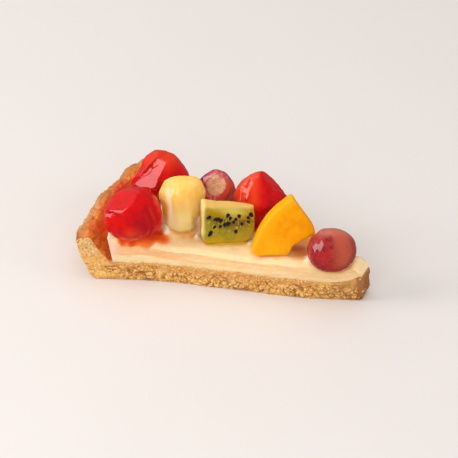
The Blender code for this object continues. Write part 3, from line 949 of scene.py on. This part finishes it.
class TART_OT_crumbs(bpy.types.Operator):
    """Scatter loose crumbs over the cut pastry"""
    bl_idname = "tart.crumbs"
    bl_label = "Crumbs"

    def execute(self, context):
        crust = bpy.data.objects["crust"]
        points = points_of(crust)
        normals = normals_of(crust)
        height = points[:, 2]
        chance = cut_share(normals, polar(points)[0]) * (height > 0.5)
        chance *= 0.2 + smooth_step(6.5, 2.5, height)
        picker = np.random.default_rng(7)
        chosen = picker.choice(len(points), context.scene.tart_sizes.crumb_count,
                               replace=False, p=chance / chance.sum())
        bpy.ops.object.select_all(action="DESELECT")
        bpy.ops.mesh.primitive_ico_sphere_add(subdivisions=1, radius=MM)
        one = bpy.context.active_object
        shape = points_of(one)
        faces = np.array(faces_of(one))
        bpy.data.objects.remove(one)
        corners = []
        for index in chosen:
            radius = picker.uniform(0.22, 0.5)
            turn = Matrix.Rotation(picker.uniform(0.0, 6.28), 3, "Z")
            turn = turn @ Matrix.Rotation(picker.uniform(0.0, 6.28), 3, "X")
            worn = shape * picker.uniform(0.65, 1.25, (1, 3))
            worn *= 1.0 + 0.22 * soft_noise(shape, 0.6, int(index) % 97)[:, None]
            spot = points[index] - normals[index] * radius * 0.45
            spot[2] = max(spot[2], radius)
            corners.append((worn * radius) @ np.array(turn).T + spot)
        steps = np.arange(len(chosen))[:, None, None] * len(shape)
        piece = new_piece("crumbs", np.concatenate(corners),
                          (faces[None, :, :] + steps).reshape(-1, 3).tolist())
        paint(piece, "Bake", 0.0, 1.0, 0.0)
        paint(piece, "Crumb", 0.0, 0.4, 0.0)
        paint(piece, "Tip", 0.0, 0.0, 0.6)
        finish_piece(piece, bpy.data.materials["shortcrust"], "crust")
        return {"FINISHED"}


# ---------------------------------------------------------------- filling

def face_stray(distance):
    """How far the front cut bows out of its plane at this distance from the middle."""
    return 1.5 * bell(distance - 36.0, 15.0) - 2.3 * bell(distance - 92.0, 24.0)


def on_slice(distance, share, height):
    """Points at a distance from the middle and a share across the slice."""
    angle = share * HALF_ANGLE
    x = TART_CENTRE[0] - distance * np.cos(angle)
    y = TART_CENTRE[1] + distance * np.sin(angle)
    y = np.where(share < 0.0, y - face_stray(distance) * share ** 2, y)
    return np.stack([x, y, height], axis=1)


def filling_height(distance, share):
    """Height of the custard's top, with its edges rounded down at the cuts."""
    reach = np.minimum.reduce([(1.0 - np.abs(share)) * HALF_ANGLE * distance,
                               distance - TIP_DISTANCE / np.cos(share * HALF_ANGLE),
                               FILLING_RADIUS - distance])
    edge = np.clip(1.0 - reach / 2.4, 0.0, 1.0)
    ripple = np.sin(distance / 7.0) * np.cos(3.0 * share)
    level = 12.4 + 3.0 * smooth_step(14.0, 38.0, distance)
    level += 3.2 * smooth_step(84.0, 106.0, distance) + 1.6 * smooth_step(109.5, 113.0, distance)
    level += 2.9 * bell(distance - 16.9, 4.0) - 1.2 * smooth_step(18.0, TIP_DISTANCE, distance)
    return level + 0.3 * ripple - 1.3 * edge ** 2


def reach_of(points, *names):
    """How far each point is from the nearest of these pieces, up to 9 millimetres."""
    found = np.full(len(points), 1000.0)
    for name in names:
        tree = tree_of(bpy.data.objects[name])
        hits = [tree.find_nearest(Vector(point), 9.0)[3] for point in points]
        found = np.minimum(found, [1000.0 if hit is None else hit for hit in hits])
    return found


def run_share(x, y, start, end, width, stray):
    """How near places are to the line from start to end: 1 on it, fading over this width."""
    run = np.subtract(end, start)
    part = ((x - start[0]) * run[0] + (y - start[1]) * run[1]) / (run @ run)
    part = np.clip(part, 0.0, 1.0)
    off = np.hypot(x - start[0] - part * run[0], y - start[1] - part * run[1])
    return bell(off + stray, width)


def sheet_piece(name):
    """A flat sheet of squares, one millimetre wide in all, for the custard's top and sides."""
    bpy.ops.object.select_all(action="DESELECT")
    bpy.ops.mesh.primitive_grid_add(x_subdivisions=SHEET_ALONG + 2 * SHEET_DOWN,
                                    y_subdivisions=SHEET_ACROSS + 2 * SHEET_DOWN, size=MM)
    piece = bpy.context.active_object
    piece.name = name
    return piece


def close_underside(piece):
    """Fill the sheet's open edge with one face."""
    only(piece)
    bpy.ops.object.mode_set(mode="EDIT")
    bpy.ops.mesh.select_all(action="DESELECT")
    bpy.ops.mesh.select_non_manifold()
    bpy.ops.mesh.edge_face_add()
    bpy.ops.object.mode_set(mode="OBJECT")


class Filling:
    """The custard at work: a sheet bent over the slice, whose outer squares hang down its sides.

    fall goes from 0 on the top to 1 at the foot. side and level tell the sides from the top.
    """

    def __init__(self, piece):
        flat = points_of(piece)
        column = (flat[:, 0] + 0.5) * (SHEET_ALONG + 2 * SHEET_DOWN) - SHEET_DOWN
        row = (flat[:, 1] + 0.5) * (SHEET_ACROSS + 2 * SHEET_DOWN) - SHEET_DOWN
        beyond = np.maximum.reduce([-column, column - SHEET_ALONG, -row, row - SHEET_ACROSS,
                                    np.zeros(len(flat))])
        self.fall = fall = beyond / SHEET_DOWN
        self.side = smooth_step(0.0, 0.12, fall)
        self.level = 1.0 - self.side
        self.by_rim = column < 0.0

        share = np.clip(row / SHEET_ACROSS, 0.0, 1.0) * 2.0 - 1.0
        self.share = share = 0.35 * np.sin(share * math.pi / 2) + 0.65 * share
        near = TIP_DISTANCE / np.cos(share * HALF_ANGLE)
        far = FILLING_RADIUS + (FILLING_FOOT_RADIUS - FILLING_RADIUS) * fall
        inward = 1.0 - np.clip(column / SHEET_ALONG, 0.0, 1.0)
        self.distance = distance = near + (far - near) * inward
        top = filling_height(np.minimum(distance, FILLING_RADIUS), share)
        floor = BASE_TOP - 0.6 * (1.0 - smooth_step(14.0, 38.0, distance)) + tip_rise(distance)
        self.points = on_slice(distance, share, top + (floor - 0.3 - top) * fall)
        self.smear = soft_noise(self.points, (16.0, 16.0, 1.6), 21, octaves=2)
        self.wave = soft_noise(self.points, (11.0, 11.0, 4.0), 22)

    def near(self, x, y, width):
        """1 at this place, fading over this width."""
        return bell(np.hypot(self.points[:, 0] - x, self.points[:, 1] - y), width)

    def smear_sides(self, relief):
        """Press the knife's strokes into the sides, with small pits and a notched foot."""
        outward = np.where((self.share < -0.999)[:, None], FRONT_CUT,
                           np.where((self.share > 0.999)[:, None], BACK_CUT, END_CUT))
        pits = smooth_step(0.5, 0.8, soft_noise(self.points, 1.5, 23))
        notch = smooth_step(0.1, 0.6, soft_noise(self.points, (1.6, 1.6, 5.0), 24))
        step = relief * (0.8 * self.smear + 0.9 * self.wave) - 0.15 * pits
        step -= smooth_step(0.8, 1.0, self.fall) * (0.2 + 0.4 * notch)
        step += smooth_step(20.0, 14.5, self.distance) * np.where(outward[:, 0] > 0.9, 0.7, -0.2)
        self.points += outward * (step * self.side * ~self.by_rim)[:, None]

    def glaze(self, climb):
        """Let glaze climb the fruit and pool beside it; gives the red and the amber stains."""
        points = self.points
        red = reach_of(points, "front_strawberry", "back_strawberry", "right_strawberry")
        other = reach_of(points, "pineapple", "kiwi", "mango", "cut_grape", "whole_grape")
        lift = climb * np.exp(-np.minimum(red, other) / 1.1)
        ripples = 0.35 * soft_noise(points, 6.0, 25) + 0.12 * soft_noise(points, 2.4, 26)
        self.drift = soft_noise(points, 3.2, 27)
        run = 1.6 * smooth_step(103.0, 96.0, self.distance) * (self.share < 0.0)
        red_stain = smooth_step(3.0, 0.4, red - run + 1.3 * self.drift)
        amber_stain = 0.75 * smooth_step(2.4, 0.2, other + 0.9 * self.drift)
        points[:, 2] += self.level * (lift + ripples) + 0.35 * red_stain * (1.0 - self.fall)
        for x, y, width, wet in POOLS:
            amber_stain = np.maximum(amber_stain, wet * self.level * self.near(x, y, width))
        return red_stain, amber_stain * (1.0 - smooth_step(0.0, 0.25, self.fall))

    def raise_ridges(self):
        """Push the ridges and dabs up; gives where they are, which get painted pale as highlights.
        """
        x, y = self.points[:, 0], self.points[:, 1]
        cream_ridge_highlight = np.zeros(len(x))
        for from_x, from_y, to_x, to_y, width, rise in RIDGES:
            ridge = run_share(x, y, (from_x, from_y), (to_x, to_y), width, 0.3 * self.drift)
            self.points[:, 2] += rise * self.level * ridge
            cream_ridge_highlight = np.maximum(cream_ridge_highlight, smooth_step(0.15, 0.7, self.level * ridge))
        return cream_ridge_highlight

    def spread_red(self, red_stain, cream_ridge_highlight):
        """Add the juice beside the front berry, and keep red off the ridges, rim and sides."""
        red_stain = np.maximum(red_stain, 0.9 * self.level * self.near(*RED_SPILL)) * (1.0 - cream_ridge_highlight)
        red_stain *= 1.0 - 0.45 * self.near(-22.0, -24.0, 6.0)
        red_stain *= np.where(self.share < -0.85, smooth_step(110.0, 107.0, self.distance), 1.0)
        return red_stain * (1.0 - smooth_step(0.05, 0.4, self.fall + 0.15 * self.drift))

    def bands(self):
        """The lower band of the cuts, the peach one above it, and the glazed pink corner by the
        rim, which gets a painted highlight.
        """
        left = smooth_step(78.0, 90.0, self.distance)
        seam = 0.55 + 0.06 * self.smear
        low = self.side * smooth_step(seam - 0.05, seam + 0.05, self.fall) * (0.5 + 0.5 * left)
        peach = (0.25 + 0.75 * left) * smooth_step(0.0, 0.1, self.fall) * (1.0 - low)
        # The glazed corner by the rim, painted as a highlight
        glazed_corner_highlight = self.side * (self.share < -0.999)
        glazed_corner_highlight *= smooth_step(107.5, 112.0, self.distance + 1.2 * self.wave)
        glazed_corner_highlight = np.maximum(glazed_corner_highlight, self.level * smooth_step(110.5, 112.0, self.distance))
        return low, peach, glazed_corner_highlight


class TART_OT_custard(bpy.types.Operator):
    """Pour the custard: a smeared cut face, a rounded top and glaze that climbs the fruit"""
    bl_idname = "tart.custard"
    bl_label = "Custard"

    def execute(self, context):
        sizes = context.scene.tart_sizes
        piece = sheet_piece("custard")
        filling = Filling(piece)
        filling.smear_sides(sizes.smear_relief / MM)
        red, amber = filling.glaze(sizes.glaze_climb / MM)
        cream_ridge_highlight = filling.raise_ridges()
        low, peach, glazed_corner_highlight = filling.bands()
        by_kiwi = reach_of(filling.points, "kiwi") + 0.5 * filling.drift
        olive = filling.level * smooth_step(1.6, 0.4, by_kiwi)
        move_points(piece, filling.points)
        close_underside(piece)
        paint(piece, "Stain", filling.spread_red(red, cream_ridge_highlight), amber, low)
        paint(piece, "Band", peach, filling.level, glazed_corner_highlight)
        # Painted shadow in the pool under the mango, and painted highlights on the ridges
        paint(piece, "Pool", olive, filling.level * filling.near(*SHADED_POOL), cream_ridge_highlight)
        weld(piece, 0.002)
        finish_piece(piece, custard_finish(context.scene.tart_colours), "custard",
                     "custard_filling")
        return {"FINISHED"}


# ---------------------------------------------------------------- fruit

def shave_flats(fruit, soft, flats):
    """Slice the flats given by where they look, as seen from the front, and how far out."""
    for across, up, toward, depth in flats:
        fruit.shave(way_seen(across, up, toward), depth, soft)


def surface_spots(fruit, count, start):
    """Spots spread evenly over a fruit's skin, from this share of its back on."""
    tree = tree_of(fruit.piece)
    middle = Vector(fruit.middle)
    spots = []
    for number in range(count):
        rise = 1.0 - 2.0 * (number + 0.5) / count
        turn = 2.39996 * number
        flat = math.sqrt(1.0 - rise * rise)
        aim = Vector((flat * math.cos(turn), flat * math.sin(turn), rise))
        if aim.y > start:
            far = middle + fruit.turned(*aim) * 40.0
            spot, normal, _, _ = tree.ray_cast(far, (middle - far).normalized())
            if spot is not None:
                spots.append((spot, normal))
    return spots


def pits_at(points, spots, width):
    """1 at each of these spots, fading over this width."""
    pits = np.zeros(len(points))
    for spot, _ in spots:
        pits = np.maximum(pits, bell(np.linalg.norm(points - np.array(spot), axis=1), width))
    return pits


def seeds_piece(name, spots, size, material, slot):
    """One drop-shaped seed, copied to every spot and set into the surface."""
    bpy.ops.object.select_all(action="DESELECT")
    bpy.ops.mesh.primitive_uv_sphere_add(segments=8, ring_count=6, radius=MM)
    one = bpy.context.active_object
    shape = points_of(one)
    faces = faces_of(one)
    bpy.data.objects.remove(one)
    shape[:, :2] *= 1.0 - 0.3 * np.clip(shape[:, 2:], -1.0, 1.0)
    corners, polygons = [], []
    for spot, normal, lie, scale in spots:
        start = len(corners) * len(shape)
        polygons += [[start + index for index in face] for face in faces]
        along = (lie - normal * lie.dot(normal)).normalized()
        turn = np.array([normal.cross(along), normal, along])
        corners.append((shape * np.array(size) * scale) @ turn + np.array(spot))
    piece = new_piece(name, np.concatenate(corners), polygons)
    weld(piece, 0.001)
    finish_piece(piece, material, slot)


class Berry(Fruit):
    """A cut strawberry at work, with the two noises that its details follow."""

    def __init__(self, sizes, name, roll):
        super().__init__(sizes, "strawberry_" + name, name + "_strawberry", 3, roll=roll)
        self.swell = self.noise(8.0, 31)
        self.fine = self.noise(2.6, 32)


def shape_front_berry(berry):
    """Arcs of grooves and a swollen pale spot; gives where the berry is pale and dark."""
    x, _, z = berry.own.T
    arc = np.hypot(x + 3.0, 0.9 * z)
    groove = sum(bell(arc - radius, 0.6) for radius in (7.6, 9.8, 12.2))
    berry.push(-0.22 * groove * smooth_step(1.0, 4.0, x))
    across, up, _ = berry.seen()
    blob = bell(across - 0.8, 3.3) * bell(up + 6.7 + 0.8 * berry.fine, 1.6)
    berry.push(0.8 * blob)
    dark = smooth_step(-3.0, 4.0, x) * smooth_step(11.0, 7.0, x)
    dark *= smooth_step(-9.0, -3.0, z) * smooth_step(9.0, 3.0, z)
    return np.maximum(smooth_step(-5.2, -7.4, z + 1.4 * berry.fine), blob), dark


def shape_back_berry(berry):
    """The groove below the upper lobe; gives where the berry is pale, and painted shade in the
    groove.
    """
    groove = bell(berry.away @ LOBE_WAY - 4.9, 0.6)
    groove *= smooth_step(0.0, 4.0, berry.away @ TO_EYE)
    berry.push(-0.2 * groove)
    pale = 0.7 * smooth_step(5.5, 11.0, berry.away[:, 2] + 0.8 * berry.swell)
    # painted shade in the groove
    return pale, 0.3 * groove


def shape_right_berry(berry):
    """Lumps on the right side; gives where the berry is pale and dark."""
    across = berry.away @ TO_RIGHT
    height = berry.away[:, 2]
    right_side = smooth_step(0.8, 2.2, across + 0.5 * berry.fine)
    berry.push(right_side * (0.15 * berry.fine + 0.3 * berry.noise(1.9, 34)))
    pale = 1.3 * smooth_step(1.0, -4.0, across + berry.swell)
    pale *= smooth_step(-2.0, 4.0, height + berry.swell)
    return pale, right_side * smooth_step(7.0, 1.0, height)


def shave_back_berry(berry):
    """Slice the sloping flat, but leave the lobe above it whole; then ease the left side."""
    whole = berry.points
    flat = (berry.away @ KEY_FACE).max() - 2.6
    berry.shave(KEY_FACE, flat, 0.12)
    berry.shave(way_seen(-0.06, 0.02, 0.99), flat + 1.5, 0.12)
    lobe = smooth_step(4.6, 6.2, berry.away @ LOBE_WAY)[:, None]
    berry.points = berry.points * (1.0 - lobe) + whole * lobe
    berry.shave(way_seen(-0.62, 0.42, 0.66), 8.9, 0.2)
    berry.shave((-0.858, 0.01, 0.516), 8.2, 0.35)


class TART_OT_strawberries(bpy.types.Operator):
    """Shape the three cut strawberries with their seed pits, grooves and ragged cut edges"""
    bl_idname = "tart.strawberries"
    bl_label = "Strawberries"

    def execute(self, context):
        material = strawberry_finish(context.scene.tart_colours)
        details = {"front": shape_front_berry, "back": shape_back_berry,
                   "right": shape_right_berry}
        seeds = []
        for name, (roll, skin) in BERRIES.items():
            berry = Berry(context.scene.tart_sizes, name, roll)
            if name == "back":
                shave_back_berry(berry)
            else:
                shave_flats(berry, *BERRY_FLATS[name])
            berry.to_outline()
            berry.push((0.25 if name == "front" else 0.1) * berry.swell + 0.03 * berry.fine)
            rise = berry.own[:, 2] / np.abs(berry.own[:, 2]).max()
            berry.push(0.5 * smooth_step(-0.2, -0.75, rise) * berry.noise((2.2, 2.2, 4.0), 33))
            berry.flat_patch(PATCHES[name], 0.35 * (berry.fine + berry.noise(1.3, 35)))
            pale, dark = details[name](berry)
            move_points(berry.piece, berry.points)
            spots = surface_spots(berry, BERRY_SPOTS, skin)
            pits = pits_at(berry.points, spots, 0.75)
            berry.normals = normals_of(berry.piece)
            berry.push(-0.32 * pits)
            berry.settle()
            # The seed pits get painted shade
            paint(berry.piece, "Flesh", np.clip(pale, 0, 1), np.clip(dark, 0, 1), 0.7 * pits)
            finish_piece(berry.piece, material, "strawberry", berry.node)
            up = berry.turned(0.0, 0.0, 1.0)
            seeds += [(spot - normal * 0.22, normal, up, 1.0) for spot, normal in spots]
        seeds_piece("strawberry_seeds", seeds, (0.36, 0.22, 0.6),
                    seed_finish("strawberry_seed", tone(196, 128, 48), 0.35), "strawberry")
        return {"FINISHED"}


class TART_OT_pineapple(bpy.types.Operator):
    """Shape the pineapple chunk: upright fibres and a soft bulge"""
    bl_idname = "tart.pineapple"
    bl_label = "Pineapple"

    def execute(self, context):
        chunk = Fruit(context.scene.tart_sizes, "pineapple_chunk", "pineapple", smoothing=3)
        x, y, z = chunk.own.T
        swell = chunk.noise(6.5, 41)
        fibre = soft_noise(chunk.own, (1.1, 1.1, 9.0), 42)
        strand = soft_noise(chunk.own, (2.6, 2.6, 14.0), 43)
        bulge = np.exp(-((x - 4.2) ** 2 + (z + 3.0) ** 2) / 7.0)
        crease = bell(x + 3.8, 0.8) * smooth_step(0.0, -3.0, y)
        shave_flats(chunk, 1.2, ((-0.8, 0.1, 0.6, 8.6), (0.75, -0.25, 0.6, 7.8)))
        chunk.to_outline()
        chunk.push(0.35 * swell + 0.08 * fibre + 0.25 * strand + 0.9 * bulge - 0.35 * crease)
        chunk.settle()
        across, up, toward = chunk.seen()
        near = smooth_step(0.0, 2.0, toward)
        # A painted highlight down the bevel on the left
        bevel_highlight = bell(across + 4.9 + 0.12 * up + 0.4 * swell, 1.0)
        bevel_highlight *= smooth_step(-10.0, -6.0, up) * smooth_step(9.0, 5.0, up) * near
        amber = smooth_step(2.6, 3.6, across + 0.3 * swell - 0.18 * np.abs(up + 5.0))
        amber *= smooth_step(0.5, -2.0, up) * near
        juice = smooth_step(-5.2, -6.4, across + 0.3 * swell)
        juice *= smooth_step(2.5, -1.5, up + 0.5 * swell) * near
        wet = np.maximum(0.55 * amber, 0.75 * smooth_step(-9.2, -10.4, up - 0.25 * across))
        # The third share paints the lower part lighter, as light
        paint(chunk.piece, "Flesh", np.maximum(wet, 0.8 * juice), 0.85 * bevel_highlight,
              smooth_step(2.0, -6.0, up))
        finish_piece(chunk.piece, pineapple_finish(context.scene.tart_colours), "pineapple",
                     chunk.node)
        return {"FINISHED"}


def seed_places(picker):
    """Places along each run of kiwi seeds, a little out of line."""
    places = []
    for from_x, from_z, to_x, to_z, count in SEED_RUNS:
        for part in np.linspace(0.0, 1.0, count):
            places.append((from_x + (to_x - from_x) * part + picker.uniform(-0.9, 0.9),
                           from_z + (to_z - from_z) * part + picker.uniform(-0.9, 0.9)))
    return places


def kiwi_seeds(half):
    """Seeds on both cut faces: place, outward way, the way each one points, and its scale."""
    tree = tree_of(half.piece)
    picker = random.Random(11)
    seeds = []
    for side in (-1.0, 1.0):
        aim = half.turned(0.0, -side, 0.0).normalized()
        for x, z in seed_places(picker):
            x *= -side
            angle = math.atan2(z - KIWI_CORE[1], x - KIWI_CORE[0])
            start = half.placing @ Vector((x, side * 12.0, z))
            spot, normal, _, _ = tree.ray_cast(start, aim)
            if spot is not None and normal.dot(aim) <= -0.8:
                lie = half.turned(math.cos(angle), 0.0, math.sin(angle))
                seeds.append((spot - normal * 0.08, normal, lie, picker.uniform(0.82, 1.12)))
    return seeds


class TART_OT_kiwi(bpy.types.Operator):
    """Shape the kiwi piece and set its seeds along the ring round the core"""
    bl_idname = "tart.kiwi"
    bl_label = "Kiwi"

    def execute(self, context):
        half = Fruit(context.scene.tart_sizes, "kiwi_piece", "kiwi", smoothing=2, yaw=28.0,
                     roll=7.0)
        x, y, z = half.own.T
        away = np.hypot(x - KIWI_CORE[0], 0.95 * (z - KIWI_CORE[1]))
        turn = np.arctan2(z - KIWI_CORE[1], x - KIWI_CORE[0])
        rays = soft_noise(np.stack([turn * 6.0, away * 0.18, y * 0.05], axis=1), 0.32, 51)
        swell = half.noise(5.0, 52)
        ring = bell(away - 9.6, 3.0)
        half.to_outline()
        half.push(0.2 * swell + 0.07 * rays * ring)
        half.settle()
        seeds = kiwi_seeds(half)
        core = 0.45 * smooth_step(8.0, 4.0, away + 0.8 * rays)
        top = smooth_step(0.3, 0.85, half.normals @ np.array(half.turned(0.0, 0.0, 1.0)))
        across, up, toward = half.seen()
        front = smooth_step(0.0, 2.0, toward)
        top *= 1.0 - front * smooth_step(6.5, 5.0, up + 0.3 * swell)
        streaks = smooth_step(0.15, 0.6, rays) * smooth_step(16.0, 12.0, away)
        foot = np.maximum(smooth_step(-3.5, -8.0, z + 0.8 * swell),
                          0.5 * smooth_step(4.0, 6.2, z + 0.6 * swell))
        # A painted highlight down the left edge
        edge = bell(across + 9.9 + 0.3 * swell, 0.75) * smooth_step(-7.0, -3.0, up)
        paint(half.piece, "Flesh", core, ring, top)
        paint(half.piece, "Rays", streaks * (1.0 - foot), foot * (1.0 - top), 0.8 * edge * front)
        colours = context.scene.tart_colours
        finish_piece(half.piece, kiwi_finish(colours), "kiwi", half.node)
        seeds_piece("kiwi_seeds", seeds, (0.78, 0.4, 1.05),
                    seed_finish("kiwi_seed", colours.kiwi_seed, 0.3), "kiwi")
        return {"FINISHED"}


class TART_OT_mango(bpy.types.Operator):
    """Shape the mango wedge with its faint fibres and paler outer band"""
    bl_idname = "tart.mango"
    bl_label = "Mango"

    def execute(self, context):
        wedge = Fruit(context.scene.tart_sizes, "mango_wedge", "mango", smoothing=2, yaw=27.0,
                      pitch=-18.0)
        x, _, z = wedge.own.T
        swell = wedge.noise(7.0, 61)
        wedge.push(0.25 * swell + 0.05 * wedge.noise(2.2, 62))
        wedge.settle()
        (start_x, start_z), (end_x, end_z) = MANGO_ARC
        run_x, run_z = end_x - start_x, end_z - start_z
        length = math.hypot(run_x, run_z)
        way = ((x - start_x) * run_x + (z - start_z) * run_z) / length ** 2
        off = ((x - start_x) * run_z - (z - start_z) * run_x) / length
        inside = off + MANGO_BOW * 4.0 * np.clip(way * (1.0 - way), 0.0, 1.0)
        outer = smooth_step(3.2, 1.4, inside + 0.4 * swell)
        outer = np.maximum(outer, smooth_step(-2.5, -7.0, z + 0.4 * x + swell))
        shade = smooth_step(0.3, 0.9, wedge.normals @ np.array(wedge.turned(1.0, 0.0, -0.6)))
        paint(wedge.piece, "Flesh", outer, 0.7 * shade, 0.0)
        finish_piece(wedge.piece, mango_finish(context.scene.tart_colours), "mango", wedge.node)
        return {"FINISHED"}


class TART_OT_grapes(bpy.types.Operator):
    """Shape the whole grape and the cut one"""
    bl_idname = "tart.grapes"
    bl_label = "Grapes"

    def execute(self, context):
        whole = Fruit(context.scene.tart_sizes, "grape_front", "whole_grape", smoothing=3)
        x, _, z = whole.own.T
        swell = whole.noise(7.0, 71)
        brown = smooth_step(-1.5, 5.0, x + 0.3 * z + 2.0 * swell) * smooth_step(-6.0, -1.0, z)
        across, up, _ = whole.seen()
        # A painted reflection on the top
        pale = smooth_step(3.5, 7.5, up + 1.2 * swell) * smooth_step(-7.5, -3.5, across)
        dark = smooth_step(0.0, 0.5, whole.noise(4.6, 75, octaves=2))
        dark *= smooth_step(7.0, 4.5, np.hypot(across - 0.5, up))
        # Painted shade along the lower edge of the outline
        edge = smooth_step(6.3, 8.6, np.hypot(across, up) + 0.5 * swell)
        dark = np.maximum(dark, 0.85 * edge * smooth_step(4.0, -2.0, up - 0.5 * across))
        ridge = np.sin(0.9 * x + 0.7 * z + 1.2 * swell)
        ridge *= smooth_step(1.0, -5.0, x) * smooth_step(1.0, 5.0, z)
        whole.push(0.25 * swell + 0.22 * ridge)
        whole.settle()
        paint(whole.piece, "Skin", 0.85 * brown, 0.8 * pale, 0.75 * dark)
        colours = context.scene.tart_colours
        finish_piece(whole.piece, grape_finish(colours), "grape", whole.node)

        half = Fruit(context.scene.tart_sizes, "grape_back", "cut_grape", smoothing=2)
        swell = half.noise(5.0, 72)
        shave_flats(half, 0.15, GRAPE_FLATS)
        half.to_outline()
        across, up, toward = half.seen()
        near = smooth_step(1.0, 3.0, toward)
        width = np.hypot((across + 0.9) / 0.95, up - 2.2) + 0.35 * swell
        width += 0.9 * half.noise(2.8, 76)
        flesh = near * smooth_step(4.3, 3.6, width)
        band = near * smooth_step(6.2, 5.4, width) - flesh
        sheet = np.stack([across, up, np.zeros(len(across))], axis=1)
        veins = smooth_step(0.16, 0.04, grains(sheet, 2.0, 73)[1])
        half.push(0.2 * swell - 0.06 * flesh * veins)
        half.settle()
        paint(half.piece, "Flesh", 1.0 - flesh, np.clip(band, 0.0, 1.0), 0.6 * veins)
        low = near * smooth_step(0.5, 2.5, across - 0.6 * up) * (1.0 - flesh)
        paint(half.piece, "Red", low, 0.0, 0.0)
        finish_piece(half.piece, cut_grape_finish(colours), "cut_grape", half.node)
        return {"FINISHED"}


# ---------------------------------------------------------------- stage

def softbox(name, aim, reach, width, height, strength, adds):
    """A rectangular light that looks at the slice from this direction."""
    light = bpy.data.lights.new(name, "AREA")
    light.shape = "RECTANGLE"
    light.size, light.size_y = width, height
    light.energy = math.pi * width * height * strength
    lamp = bpy.data.objects.new(name, light)
    bpy.context.collection.objects.link(lamp)
    way = Vector(aim).normalized()
    lamp.location = way * reach
    lamp.rotation_euler = way.to_track_quat("Z", "Y").to_euler()
    lamp.visible_glossy = adds != "shading"
    lamp.visible_diffuse = adds != "shine"


class TART_OT_stage(bpy.types.Operator):
    """Lay the pale floor, hang the soft lights and stand the camera"""
    bl_idname = "tart.stage"
    bl_label = "Stage"

    def execute(self, context):
        bpy.ops.object.select_all(action="DESELECT")
        bpy.ops.mesh.primitive_plane_add(size=12.0, location=(0.0, 0.0, -0.02 * MM))
        floor = bpy.context.active_object
        floor.name = "floor"
        bpy.ops.object.transform_apply(location=True, rotation=True, scale=True)
        floor.data.materials.append(floor_finish(context.scene.tart_colours))
        floor.visible_glossy = False
        for light in LIGHTS:
            softbox(*light)
        world = bpy.data.worlds.new("studio")
        context.scene.world = world
        world.use_nodes = True
        sky = world.node_tree.nodes["Background"]
        sky.inputs["Color"].default_value = (1.0, 0.99, 0.98, 1.0)
        sky.inputs["Strength"].default_value = SKY_STRENGTH
        context.scene.view_settings.view_transform = "Standard"
        lens = bpy.data.cameras.new("camera")
        lens.lens = CAMERA_LENS
        lens.sensor_width = 36.0
        lens.clip_start = 0.05
        camera = bpy.data.objects.new("camera", lens)
        bpy.context.collection.objects.link(camera)
        camera.location = CAMERA_PLACE
        way = camera.location - Vector(CAMERA_TARGET)
        camera.rotation_euler = way.to_track_quat("Z", "Y").to_euler()
        context.scene.camera = camera
        return {"FINISHED"}


# ---------------------------------------------------------------- panel and start

STEPS = ("crust", "crumbs", "strawberries", "pineapple", "kiwi", "mango", "grapes",
         "custard", "stage")


class TART_PT_panel(bpy.types.Panel):
    """Settings of the tart slice, and a button for each of its pieces"""
    bl_label = "Fruit Tart Slice"
    bl_idname = "TART_PT_panel"
    bl_space_type = "VIEW_3D"
    bl_region_type = "UI"
    bl_category = "Tart"

    def draw(self, context):
        column = self.layout.column()
        for group in (context.scene.tart_sizes, context.scene.tart_colours):
            for setting in group.bl_rna.properties:
                if setting.identifier not in ("rna_type", "name"):
                    column.prop(group, setting.identifier)
        for step in STEPS:
            column.operator("tart." + step)


CLASSES = (TartSizes, TartColours, TART_OT_crust, TART_OT_crumbs, TART_OT_custard,
           TART_OT_strawberries, TART_OT_pineapple, TART_OT_kiwi, TART_OT_mango,
           TART_OT_grapes, TART_OT_stage, TART_PT_panel)


def register():
    for item in CLASSES:
        bpy.utils.register_class(item)
    bpy.types.Scene.tart_sizes = PointerProperty(type=TartSizes)
    bpy.types.Scene.tart_colours = PointerProperty(type=TartColours)


def unregister():
    del bpy.types.Scene.tart_colours
    del bpy.types.Scene.tart_sizes
    for item in reversed(CLASSES):
        bpy.utils.unregister_class(item)


def main():
    register()
    for step in STEPS:
        if getattr(bpy.ops.tart, step)() != {"FINISHED"}:
            raise RuntimeError("the step did not finish: " + step)


if __name__ == "__main__":
    main()
